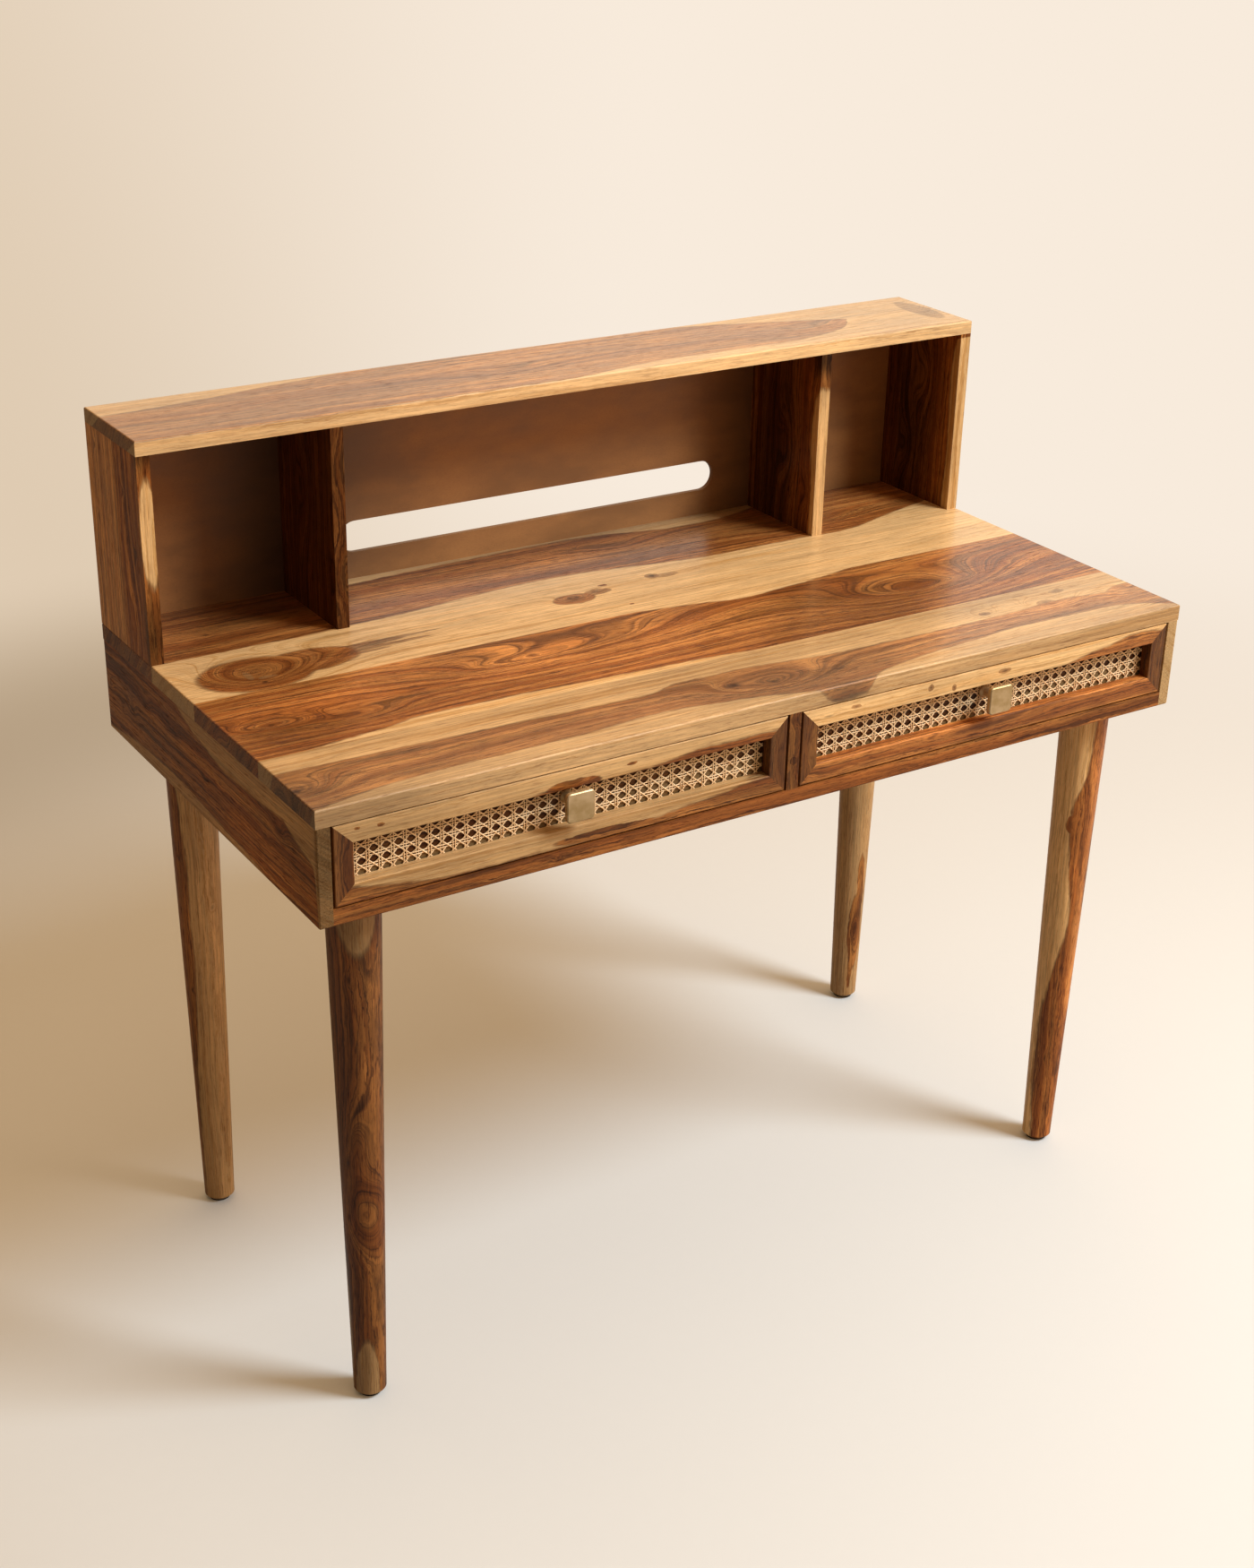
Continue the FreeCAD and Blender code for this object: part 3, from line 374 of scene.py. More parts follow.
DESKTOP = Board(1100, 550, (
    Stave(128,
          low=((0, 2), (60, 14), (150, 24), (300, 26), (400, 34), (480, 24), (540, 12), (575, 2), (606, -9),
               (640, -9), (662, 6), (700, 18), (800, 30), (900, 38), (1000, 38), (1060, 26), (1100, 4)),
          high=((0, 92), (200, 88), (330, 82), (420, 80), (460, 92), (520, 92), (650, 78), (850, 75),
                (1000, 82), (1050, 74), (1100, 80)),
          knots=(Knot(8, 46, 46, 26, 42, 0.35), Knot(4, 48, 12, 10, 6, 0.8), Knot(508, 57, 20, 11, 16, 0.7),
                 Knot(556, 46, 66, 28, 72, 0), Knot(553, 46, 12, 8, 8, 0.75),
                 Knot(880, 90, 24, 16, 34, 0, 0), Knot(880, 90, 8, 5, 4, 0.5, 0.5),
                 Knot(967, 82, 40, 18, 44, 0, 0), Knot(967, 82, 13, 7, 6, 0.4, 0.5),
                 Knot(1003, 105, 12, 5, 6, 0.3, 0.3), Knot(1092, 66, 40, 20, 24, 0.2)),
          patches=(Patch(555, 40, 85, 48, -0.28), Patch(880, 60, 200, 22, 0.35),
                   Patch(850, 112, 220, 24, -0.14), Patch(6, 46, 40, 40, -0.25), Patch(622, 0, 26, 8, -0.4),
                   Patch(900, 0, 220, 10, -0.14), Patch(20, 2, 130, 14, -0.4)),
          tone=0.86, stain=0.18, rich=0.85, lean=0.5, face=19),
    Stave(288,
          low=((0, 118), (70, 129), (130, 136), (200, 148), (300, 146), (400, 140), (550, 132), (640, 124),
               (1100, 118)),
          high=((0, 300), (500, 300), (545, 288), (620, 276), (670, 268), (720, 271), (800, 281),
                (860, 292), (1100, 300)),
          knots=(Knot(45, 200, 52, 18, 44, 0.3), Knot(46, 199, 9, 5, 4, 0.6), Knot(130, 178, 70, 20, 40, 0),
                 Knot(420, 224, 200, 46, 60, 0), Knot(345, 230, 58, 12, 16, 0),
                 Knot(367, 234, 9, 6, 6, 0.6), Knot(862, 194, 140, 52, 92, 0),
                 Knot(868, 196, 30, 10, 14, 0.15), Knot(930, 199, 45, 8, 8, 0),
                 Knot(1015, 208, 8, 5, 4, 0.4)),
          patches=(Patch(420, 215, 240, 100, 0.42), Patch(760, 190, 120, 70, -0.42),
                   Patch(30, 175, 60, 26, -0.35), Patch(120, 225, 80, 24, 0.4),
                   Patch(190, 180, 60, 18, -0.25)),
          tone=0.98),
    Stave(570,
          low=((0, 404), (170, 405), (300, 412), (420, 427), (500, 430), (560, 427), (680, 408), (740, 404),
               (850, 405), (900, 402), (1000, 425), (1100, 455)),
          high=((0, 575), (240, 570), (285, 527), (350, 531), (450, 536), (550, 540), (650, 534),
                (700, 521), (750, 515), (850, 528), (900, 565), (1100, 575)),
          knots=(Knot(88, 331, 64, 45, 125, 0.25), Knot(150, 339, 60, 30, 26, 0, 0.95),
                 Knot(212, 350, 60, 6, 8, 0, 0.6), Knot(225, 340, 75, 4, 4, 0, 0.5),
                 Knot(200, 332, 45, 3, 3, 0, 0.5), Knot(265, 353, 50, 3, 3, 0, 0.35),
                 Knot(90, 326, 24, 16, 14, 0.3), Knot(78, 329, 4, 12, 0, 0, -0.28),
                 Knot(96, 318, 11, 3, 0, 0, -0.28), Knot(87, 307, 7, 5, 3, 0.8),
                 Knot(495, 358, 27, 15, 30, 0.45, 0.85), Knot(531, 366, 18, 8, 6, 0.35, 0.6),
                 Knot(615, 380, 9, 8, 10, 0.75, 0.5), Knot(632, 376, 17, 6, 4, 0.1, 0.25),
                 Knot(547, 381, 6, 3, 2, 0.5), Knot(830, 352, 20, 11, 12, 0.1, 0),
                 Knot(545, 313, 3, 2, 1, 0.8), Knot(920, 330, 120, 40, 22, 0, 0),
                 Knot(85, 460, 8, 6, 5, 0.7), Knot(540, 478, 12, 4, 4, 0.5), Knot(585, 508, 9, 6, 5, 0.5),
                 Knot(640, 490, 60, 20, 18, 0.1, 0), Knot(900, 450, 80, 22, 22, 0.2, 0)),
          # The patches at 560, 760 and 130 along the board are painted shade: the strip along the back under
          # the hutch, partly darker heartwood as well, the wood by the right divider and the floor of the
          # left bay
          patches=(Patch(86, 331, 58, 40, -0.26), Patch(200, 341, 70, 20, -0.1),
                   Patch(86, 331, 30, 20, 0.35), Patch(560, 556, 480, 36, -0.62),
                   Patch(760, 475, 190, 52, -0.3), Patch(400, 350, 200, 70, 0.12),
                   Patch(130, 500, 120, 64, -0.58)),
          tone=1.0),
))

HUTCH_TOP = Board(1100, 146, (
    Stave(160,
          low=((0, -2), (450, -1), (540, 3), (600, 14), (700, 20), (820, 20), (880, 27), (925, 42),
               (950, 60), (966, 80), (1000, 100), (1100, 100)),
          high=((0, 100), (100, 112), (200, 128), (280, 140), (360, 152), (700, 150), (800, 130),
                (860, 114), (915, 98), (950, 86), (966, 78), (1000, 60), (1100, 60)),
          knots=(Knot(1076, 75, 16, 46, 20, 0, 0.35), Knot(250, 118, 12, 7, 8, 0.35),
                 Knot(100, 75, 60, 14, 16, 0.1), Knot(470, 62, 80, 20, 22, 0.05),
                 Knot(900, 60, 90, 26, 30, 0, 0)),
          patches=(Patch(1040, 70, 140, 100, -0.2), Patch(150, 60, 250, 120, -0.2)),
          tone=1.0, rich=0.76, lean=1.6, face=16),
))

LEFT_SIDE_PANEL = Board(550, 114, (
    Stave(130,
          low=((0, -8), (90, -3), (150, 5), (250, 12), (350, 18), (450, 15), (550, 4)),
          high=((0, -40), (9, 64), (50, 75), (80, 86), (130, 80), (200, 78), (260, 85), (320, 98),
                (360, 120), (550, 120)),
          knots=(Knot(85, 70, 16, 9, 12, 0.5), Knot(118, 50, 10, 6, 6, 0.5), Knot(230, 60, 10, 4, 4, 0.4),
                 Knot(270, 48, 10, 4, 4, 0.4), Knot(352, 70, 22, 7, 9, 0.5), Knot(432, 75, 18, 10, 10, 0.4),
                 Knot(472, 52, 12, 13, 10, 0.5), Knot(503, 40, 8, 8, 6, 0.4), Knot(537, 58, 8, 8, 6, 0.4)),
          patches=(Patch(110, 12, 140, 42, 0.6), Patch(470, 60, 130, 90, -0.14),
                   Patch(0, 57, 4, 400, -0.45)),
          tone=0.75, stain=0.42),
))

RIGHT_SIDE_PANEL = Board(550, 114, (
    Stave(130,
          low=((0, -10), (550, -10)),
          high=((0, -14), (20, -5), (60, 30), (150, 60), (300, 78), (420, 70), (550, 88)),
          knots=(Knot(160, 40, 26, 10, 16, 0.5), Knot(330, 52, 90, 24, 30, 0), Knot(420, 30, 14, 7, 8, 0.5),
                 Knot(240, 92, 10, 6, 6, 0.4))),
))

BOTTOM_BOARD = Board(1100, 550, (
    Stave(200, knots=(Knot(255, 0, 5, 6, 3, 0.6, 1, 8, 4), Knot(700, 40, 120, 30, 30, 0)), tone=0.86),
    Stave(390,
          low=((0, 215), (500, 230), (1100, 206)),
          knots=(Knot(320, 300, 40, 14, 22, 0.5),),
          tone=0.95),
    Stave(570,
          high=((0, 520), (600, 505), (1100, 530)),
          knots=(Knot(800, 450, 30, 14, 20, 0.5),),
          tone=0.9),
))

BACK_BOARD = Board(1100, 90, (
    Stave(120,
          low=((0, 10), (400, 18), (800, 6), (1100, 16)),
          knots=(Knot(300, 50, 40, 12, 22, 0.5), Knot(820, 44, 70, 18, 26, 0.1),
                 Knot(560, 60, 12, 7, 8, 0.5))),
))

HUTCH_LEFT_SIDE = Board(245, 146, (
    Stave(68,
          knots=(Knot(152, -4, 66, 11, 6, 0, -1, 9, 11), Knot(188, 45, 9, 6, 8, 0.6),
                 Knot(128, 18, 16, 6, 8, 0.5), Knot(40, 30, 70, 18, 20, 0)),
          patches=(Patch(35, 0, 60, 8, -0.8), Patch(238, 0, 20, 8, -0.75)),
          tone=1.0),
    Stave(160, knots=(Knot(138, 125, 16, 5, 8, 0.6), Knot(218, 122, 8, 4, 4, 0.5)), tone=1.42, rich=0.8),
))

HUTCH_RIGHT_SIDE = Board(245, 146, (
    Stave(160,
          low=((0, 14), (90, 10), (180, 13), (228, 8), (236, -6), (245, -8)),
          knots=(Knot(70, 90, 40, 16, 20, 0.3), Knot(170, 60, 50, 20, 24, 0)),
          # Painted shade: this patch darkens the board's faces away from its front edge, for the shade inside
          # the hutch
          patches=(Patch(120, 90, 300, 78, -0.8),),
          stain=0.12),
))

HUTCH_LEFT_DIVIDER = Board(245, 146, (
    Stave(160,
          knots=(Knot(150, 70, 60, 20, 26, 0.1), Knot(70, 2, 34, 8, 14, 0.25),
                 Knot(190, 0, 40, 6, 10, 0.2)),
          patches=(Patch(130, 0, 140, 5, 0.2),),
          # Its low tone is partly the dark wood of the front edge and partly painted shade for its faces
          # inside the hutch
          tone=0.27),
))

HUTCH_RIGHT_DIVIDER = Board(245, 146, (
    Stave(160,
          low=((0, 8), (60, 7), (120, 12), (176, 8), (192, 1), (212, -8), (245, -10)),
          knots=(Knot(110, 60, 50, 18, 26, 0.2), Knot(60, 20, 26, 8, 10, 0.2),
                 Knot(228, 3, 30, 16, 6, 0.6)),
          # Painted shade: the first patch darkens the board's faces away from its front edge, for the shade
          # inside the hutch; the second is a dark patch of the wood at the top of the front edge
          patches=(Patch(120, 90, 300, 78, -0.82), Patch(232, 0, 38, 24, -0.72)),
          stain=0.12),
))

CENTRE_STILE = Board(90, 24, (
    Stave(40, knots=(Knot(80, 0, 9, 30, 6, 0.3), Knot(30, 4, 20, 6, 6, 0.1)), tone=0.57),
))

LEFT_TOP_RAIL = Board(523, 21, (
    Stave(30,
          high=((0, -8), (180, -4), (255, 5), (300, 0), (360, 3), (440, 9), (523, 9)),
          knots=(Knot(25, 14, 3, 1.5, 1, 0.6), Knot(50, 12, 4, 2, 2, 0.6), Knot(262, 3, 32, 6, 6, 0.2),
                 Knot(330, 12, 6, 2, 2, 0.5)),
          patches=(Patch(30, 10, 130, 60, -0.26),),
          tone=0.84, stain=0.15),
))

LEFT_BOTTOM_RAIL = Board(523, 21, (
    Stave(30,
          high=((0, 22), (70, 9), (160, 2), (300, 3), (400, 12), (523, 24)),
          knots=(Knot(300, 6, 60, 5, 8, 0),),
          tone=0.74, stain=0.15),
))

RIGHT_TOP_RAIL = Board(523, 21, (
    Stave(30,
          high=((0, -8), (330, -5), (380, 3), (430, 11), (480, 18), (523, 16)),
          knots=(Knot(34, 9, 12, 4, 4, 0.4, 0), Knot(70, 13, 7, 2.5, 3, 0.4, 0.6),
                 Knot(172, 13, 4, 4, 3, 0.5, 0.6), Knot(205, 7, 3, 5, 2, 0.4, 0.6),
                 Knot(277, 12, 9, 3, 3, 0.45, 0.6)),
          tone=0.98),
))

RIGHT_BOTTOM_RAIL = Board(523, 21, (
    Stave(30,
          low=((0, -4), (40, -6), (523, -8)),
          knots=(Knot(230, 12, 110, 7, 12, 0), Knot(40, 4, 30, 6, 6, 0)),
          # Painted light: this patch brightens the top of the rail, the ledge below the cane, as if lit from
          # above
          patches=(Patch(260, 25, 400, 6, 0.9),),
          tone=0.92),
))

DRAWER_STILE = Board(85, 21, (
    Stave(30, knots=(Knot(40, 10, 30, 6, 8, 0),), tone=0.4),
))

# The legs' grain runs up from the floor; across and depth are seen from the front left
FRONT_LEFT_LEG = Board(625, 60, (
    Stave(60,
          knots=(Knot(640, 6, 80, 24, 10, 0, -1, 24, 24), Knot(8, 0, 74, 13, 8, 0, -1, 16, 17),
                 Knot(60, -20, 130, 6, 4, 0, -1, 4, 14), Knot(534, -2, 10, 4, 6, 0.7, 1, 26, 14),
                 Knot(312, -12, 16, 6, 8, 0.6, 1, 22, 14), Knot(325, -6, 60, 14, 26, 0, 1, 22, 30),
                 Knot(245, 0, 40, 30, 40, 0, 1, 20, 40)),
          tone=0.52, stain=0.24),
))

FRONT_RIGHT_LEG = Board(625, 60, (
    Stave(60,
          low=((0, -10), (40, -12), (110, -16), (200, -15), (260, -8), (330, 3), (400, -2), (470, -8),
               (540, 7), (625, 9)),
          knots=(Knot(465, -7, 12, 5, 7, 0.4, 1, 24, 20), Knot(180, 8, 8, 3, 4, 0.6, 1, 20, 14),
                 Knot(130, -4, 10, 3, 4, 0.5, 1, 20, 14)),
          tone=1.25, stain=0.12),
))

REAR_LEFT_LEG = Board(625, 60, (
    Stave(60,
          low=((0, -60), (625, -60)),
          high=((0, -13), (60, -13), (170, -12), (350, -6), (490, -7), (570, -14), (625, -22)),
          knots=(Knot(480, -16, 9, 4, 5, 0.6, 1, 20, 20), Knot(305, -12, 8, 3, 4, 0.6, 1, 20, 20),
                 Knot(415, 18, 6, 3, 3, 0.4, 0, 14, 14)),
          patches=(Patch(0, 0, 300, 400, -0.3),),
          tone=0.9, stain=0.3),
))

REAR_RIGHT_LEG = Board(625, 60, (
    Stave(60,
          low=((0, 60), (625, 60)),
          knots=(Knot(112, 8, 62, 9, 12, 0.3, 1, 14, 22), Knot(190, 13, 50, 5, 6, 0.2, 1, 12, 18),
                 Knot(118, 9, 14, 5, 8, 0.6, 1, 16, 16), Knot(50, 5, 30, 3, 4, 0.2, 1, 16, 14)),
          tone=0.76, stain=0.3),
))


# How a knot's edge and its dark core fade with the distance from its middle, in shares of its reach
KNOT_EDGE = Step(1.08, 0.92)
KNOT_CORE = Step(0.75, 0.1)

# Noises that bend the growth layers and draw them: along the grain, through the layers and in depth
WANDER = Noise((5, 22, 9))
RIPPLE = Noise((28, 120, 40), 1.0)
BANDS = Noise((1.2, 85, 10), 2.0, 0.6)
RINGS = Noise((2.2, 420, 20), 3.0, 0.65)
LINES = Noise((1.6, 150, 14), 1.0)
FINE_LINES = Noise((2.0, 330, 20), 1.0)

# Noises that follow the fibre: along it, across it and in depth
DASHES = Noise((48, 700, 700), 1.0)
SPECKS = Noise((180, 1900, 1900), 1.0)
STRANDS = Noise((7, 460, 460), 2.0, 0.6)
MOTTLE = Noise((9, 30, 30), 3.0, 0.6)
RAGGED = Noise((16, 40, 40), 3.0, 0.6)
FRAYED = Noise((70, 420, 420))

# How far the layers wander and ripple, and how far the lines between heartwood and sapwood are worn
WANDER_REACH = 13 * MM
RIPPLE_REACH = 2.2 * MM
RAGGED_REACH = 7 * MM
FRAYED_REACH = 4 * MM

# The share of the layers' wandering that the fibre takes up
FIBRE_SHARE = 0.6

# How fast the growth layers pass through a board's thickness
RING_SLOPE = 0.8

# Which part of a noise shows as glow, streak, line or pore, and how strongly
HEART_GLOW = Step(0.38, 0.64)
HEART_BAND = Step(0.44, 0.26, 0.0, 0.3)
HEART_RING = Step(0.54, 0.30, 0.0, 0.44)
SAP_BAND = Step(0.48, 0.28, 0.0, 0.7)
SAP_RING = Step(0.50, 0.30, 0.0, 0.7)
HAIRLINE = Step(0.05, 0.0)
LINE_LEVEL = 0.5
FINE_LINE_LEVEL = 0.47
LINE_SHARE = 0.66
FINE_LINE_SHARE = 0.4
OPEN_DASH = Step(0.56, 0.70)
OPEN_SPECK = Step(0.58, 0.74)
SPECK_SHARE = 0.7
SAP_PORE_SHARE = 0.3
HEART_PORE_SHARE = 0.8

# How far clouds and strands of the wood lighten and darken it
SAP_CLOUD = Step(0.28, 0.72, 0.9, 1.06)
HEART_CLOUD = Step(0.28, 0.72, 0.78, 1.2)
STRAND_LIGHT = Step(0.3, 0.7, 0.82, 1.16)

# Roughness of the wood under its lacquer, what pores and edges add to it, and the relief of its surface
WOOD_ROUGHNESS = Step(0.2, 0.8, 0.28, 0.38)
PORE_ROUGHNESS = 0.2
EDGE_ROUGHNESS = 0.2
RING_RELIEF = 0.35
PORE_DEPTH = 0.15 * MM

# Width of the passage from sapwood to heartwood, and how much darker the wood is there
SAP_PASSAGE = Step(-1.5 * MM, 2.5 * MM)
RIM_GAIN = -1.1

# How squarely a face looks along the grain to count as end grain, and out of the board as a flat face
END_GRAIN = (0.6, 0.9)
FLAT_FACE = Step(0.8, 0.98)

# How far apart the seeds of two staves of a board are
STAVE_SEED = 0.37

# Share of light that polished wood mirrors, as the shader counts it
MIRROR_LEVEL = 0.5


def build_knot_group():
    """A knot seen from any point: how far it lifts the growth layers, its edge and its dark core."""
    tree, given, out = new_group(
        "Wood Knot", {"Grain": "Vector", "Middle": "Vector", "Reach": "Vector"},
        {"Bulge": "Float", "Edge": "Float", "Core": "Float"})
    offset = tree.vector("DIVIDE", tree.vector("SUBTRACT", given["Grain"], given["Middle"]), given["Reach"])
    distance = tree.length(offset)
    falling = tree.times(tree.times(distance, distance), -1.0)
    tree.feed(out["Bulge"], tree.math("EXPONENT", falling))
    tree.feed(out["Edge"], tree.ramp(distance, KNOT_EDGE))
    tree.feed(out["Core"], tree.ramp(distance, KNOT_CORE))


def hairlines(tree, flow, noise, level):
    """Thin lines where a noise passes a level."""
    away = tree.math("ABSOLUTE", tree.math("SUBTRACT", tree.noise(flow, noise), level))
    return tree.ramp(away, HAIRLINE)


def build_sheesham_group(wood):
    """Lacquered sheesham: growth lines that follow the layers, heartwood, sapwood, knots and pores."""
    tree, given, out = new_group(
        "Sheesham", {"Grain": "Vector", "Layers": "Float", "Heartwood": "Float", "Knot": "Float",
                     "Tone": "Float", "Seed": "Float"},
        {"Color": "Color", "Roughness": "Float", "Height": "Float"})
    along, across, deep = tree.split(given["Grain"])
    shifted = tree.math("ADD", deep, given["Seed"])
    layers = given["Layers"]
    rough_flow = tree.combine(along, layers, shifted)
    drift = tree.math("ADD", tree.swing(rough_flow, WANDER, WANDER_REACH),
                      tree.swing(rough_flow, RIPPLE, RIPPLE_REACH))
    flow = tree.combine(along, tree.math("ADD", layers, drift), shifted)

    bands = tree.noise(flow, BANDS)
    rings = tree.noise(flow, RINGS)
    lines = hairlines(tree, flow, LINES, LINE_LEVEL)
    fine_lines = hairlines(tree, flow, FINE_LINES, FINE_LINE_LEVEL)
    fibre = tree.combine(along, tree.math("ADD", across, tree.times(drift, FIBRE_SHARE)), shifted)
    dashes = tree.ramp(tree.noise(fibre, DASHES), OPEN_DASH)
    specks = tree.ramp(tree.noise(fibre, SPECKS), OPEN_SPECK)
    pores = tree.math("MAXIMUM", dashes, tree.times(specks, SPECK_SHARE))
    strands = tree.noise(fibre, STRANDS)
    mottle = tree.noise(fibre, MOTTLE)

    heart = tree.tint(tree.ramp(bands, HEART_GLOW), wood.heart, wood.glow)
    heart = tree.tint(tree.ramp(bands, HEART_BAND), heart, wood.streak)
    heart = tree.tint(tree.ramp(rings, HEART_RING), heart, wood.streak)
    heart = tree.tint(tree.times(lines, LINE_SHARE), heart, wood.streak)
    heart = tree.tint(tree.times(fine_lines, FINE_LINE_SHARE), heart, wood.streak)
    sap = tree.tint(tree.ramp(bands, SAP_BAND), wood.sap, wood.sap_line)
    sap = tree.tint(tree.ramp(rings, SAP_RING), sap, wood.sap_line)
    body = tree.tint(given["Heartwood"], sap, heart)
    body = tree.tint(given["Knot"], body, wood.knot)
    cloudy = tree.blend(given["Heartwood"], tree.ramp(mottle, SAP_CLOUD), tree.ramp(mottle, HEART_CLOUD))
    light = tree.times(cloudy, given["Tone"])
    light = tree.times(light, tree.ramp(strands, STRAND_LIGHT))
    open_pores = tree.times(pores, tree.blend(given["Heartwood"], SAP_PORE_SHARE, HEART_PORE_SHARE))
    body = tree.tint(open_pores, body, tree.tint(1.0, body, wood.pore, "MULTIPLY"))
    tree.feed(out["Color"], tree.shaded(body, light))
    tree.feed(out["Roughness"], tree.math("ADD", tree.ramp(mottle, WOOD_ROUGHNESS),
                                          tree.times(pores, PORE_ROUGHNESS)))
    tree.feed(out["Height"], tree.math("SUBTRACT", tree.times(rings, RING_RELIEF), pores))


def grain_place(tree, origin, axes):
    """A point of a board as distances along the grain, across it and in depth."""
    offset = tree.vector("SUBTRACT", tree.place(), origin)
    return tree.combine(*(tree.vector("DOT_PRODUCT", offset, axis) for axis in axes))


def sap_line(tree, along, board, points):
    """Where a line drawn along the board runs across it; the curve's middle is the board's edge."""
    span = 2 * board.width * MM
    places = [(run / board.run, CURVE_MIDDLE + across * MM / span) for run, across in points]
    height = tree.curve(tree.math("DIVIDE", along, board.run * MM), places)
    return tree.times(tree.math("SUBTRACT", height, CURVE_MIDDLE), span)


def patched(tree, grain, tone, patches):
    """A tone that soft patches make lighter or darker."""
    light = tone
    for patch in patches:
        middle = Vector((patch.along, patch.across, 0)) * MM
        reach = Vector((patch.reach, patch.spread, ENDLESS)) * MM
        bulge = tree.group("Wood Knot", Grain=grain, Middle=middle, Reach=reach)["Bulge"]
        light = tree.times(light, tree.math("MULTIPLY_ADD", bulge, patch.gain, 1.0))
    return light


def stave_figure(tree, grain, board, stave):
    """Growth layers, heartwood, dark knots and tone of one stave at each point."""
    along, across, deep = tree.split(grain)
    layers = tree.math("MULTIPLY_ADD", deep, RING_SLOPE, across)
    heart = 1.0
    core = 0.0
    below_face = tree.math("SUBTRACT", deep, stave.face * MM)
    leaning = tree.math("MULTIPLY_ADD", below_face, stave.lean, across)
    if stave.low:
        above = tree.math("SUBTRACT", leaning, sap_line(tree, along, board, stave.low))
        heart = tree.ramp(above, SAP_PASSAGE)
    if stave.high:
        below = tree.math("SUBTRACT", sap_line(tree, along, board, stave.high), leaning)
        heart = tree.times(heart, tree.ramp(below, SAP_PASSAGE))
    for knot in stave.knots:
        middle = Vector((knot.along, knot.across, knot.deep)) * MM
        reach = Vector((knot.reach, knot.spread, knot.through)) * MM
        bulge, edge, dark = tree.group("Wood Knot", Grain=grain, Middle=middle, Reach=reach)
        layers = tree.math("ADD", layers, tree.times(bulge, knot.swirl * MM))
        if knot.wood:
            inside = 1.0 if knot.wood > 0 else 0.0
            heart = tree.blend(tree.times(edge, abs(knot.wood)), heart, inside)
        if knot.core:
            core = tree.math("MAXIMUM", core, tree.times(dark, knot.core))
    rim = tree.times(heart, tree.math("SUBTRACT", 1.0, heart))
    light = patched(tree, grain, stave.tone, stave.patches)
    light = tree.times(light, tree.math("MULTIPLY_ADD", rim, RIM_GAIN, 1.0))
    heart = tree.blend(heart, stave.stain, stave.rich)
    return layers, heart, core, light


def sheesham(name, board, origin, axes, seed, wood, tone=1.0, gloss=1.0, turned=False):
    """Material of one board, its staves side by side, or of a turned piece, which has no flat face."""
    material, tree, shader = new_material(name)
    grain = grain_place(tree, origin, axes)
    along, across, deep = tree.split(grain)
    worn = tree.math("ADD", tree.math("ADD", across, tree.swing(grain, RAGGED, RAGGED_REACH)),
                     tree.swing(grain, FRAYED, FRAYED_REACH))
    loose_grain = tree.combine(along, worn, deep)
    figure = None
    for index, stave in enumerate(board.staves):
        row = (*stave_figure(tree, loose_grain, board, stave), seed + STAVE_SEED * index)
        if figure is None:
            figure = row
        else:
            beyond = tree.math("GREATER_THAN", across, board.staves[index - 1].end * MM)
            figure = [tree.blend(beyond, before, after) for before, after in zip(figure, row)]
    layers, heart, core, light, shift = figure
    normal = tree.node("ShaderNodeNewGeometry").outputs["Normal"]
    along_grain = tree.math("ABSOLUTE", tree.vector("DOT_PRODUCT", normal, axes[0]))
    end_grain = tree.ramp(along_grain, Step(*END_GRAIN, 1.0, wood.end_tone))
    light = tree.times(light, tree.times(end_grain, tone))
    colours, roughness, height = tree.group("Sheesham", Grain=grain, Layers=layers, Heartwood=heart,
                                            Knot=core, Tone=light, Seed=shift)
    if turned:
        shader.inputs["Coat Weight"].default_value = wood.gloss * gloss
    else:
        flat = tree.ramp(tree.math("ABSOLUTE", tree.vector("DOT_PRODUCT", normal, axes[2])), FLAT_FACE)
        edges = tree.times(tree.math("SUBTRACT", 1.0, flat), EDGE_ROUGHNESS)
        roughness = tree.math("ADD", roughness, edges)
        tree.feed(shader.inputs["Coat Weight"], tree.times(flat, wood.gloss * gloss))
    shader.inputs["Specular IOR Level"].default_value = MIRROR_LEVEL * gloss
    shader.inputs["Coat Roughness"].default_value = wood.coat_roughness
    finish(tree, shader, colours, roughness, height, PORE_DEPTH)
    return material


def toned(tone, gain):
    """A plain colour made lighter or darker."""
    return [gain * part for part in tone]


def rightwards(turn):
    """The level direction to the right of a picture that is taken from a turn about the upright axis."""
    return Vector((math.cos(turn), math.sin(turn), 0))


X = Vector((1, 0, 0))
Y = Vector((0, 1, 0))
Z = Vector((0, 0, 1))

# How the grain of a board lies: along it, across it and through its thickness
LEVEL_GRAIN = (X, Y, Z)
RAIL_GRAIN = (X, Z, Y)
SIDE_GRAIN = (Y, Z, X)
UPRIGHT_GRAIN = (Z, Y, X)
STILE_GRAIN = (Z, X, Y)

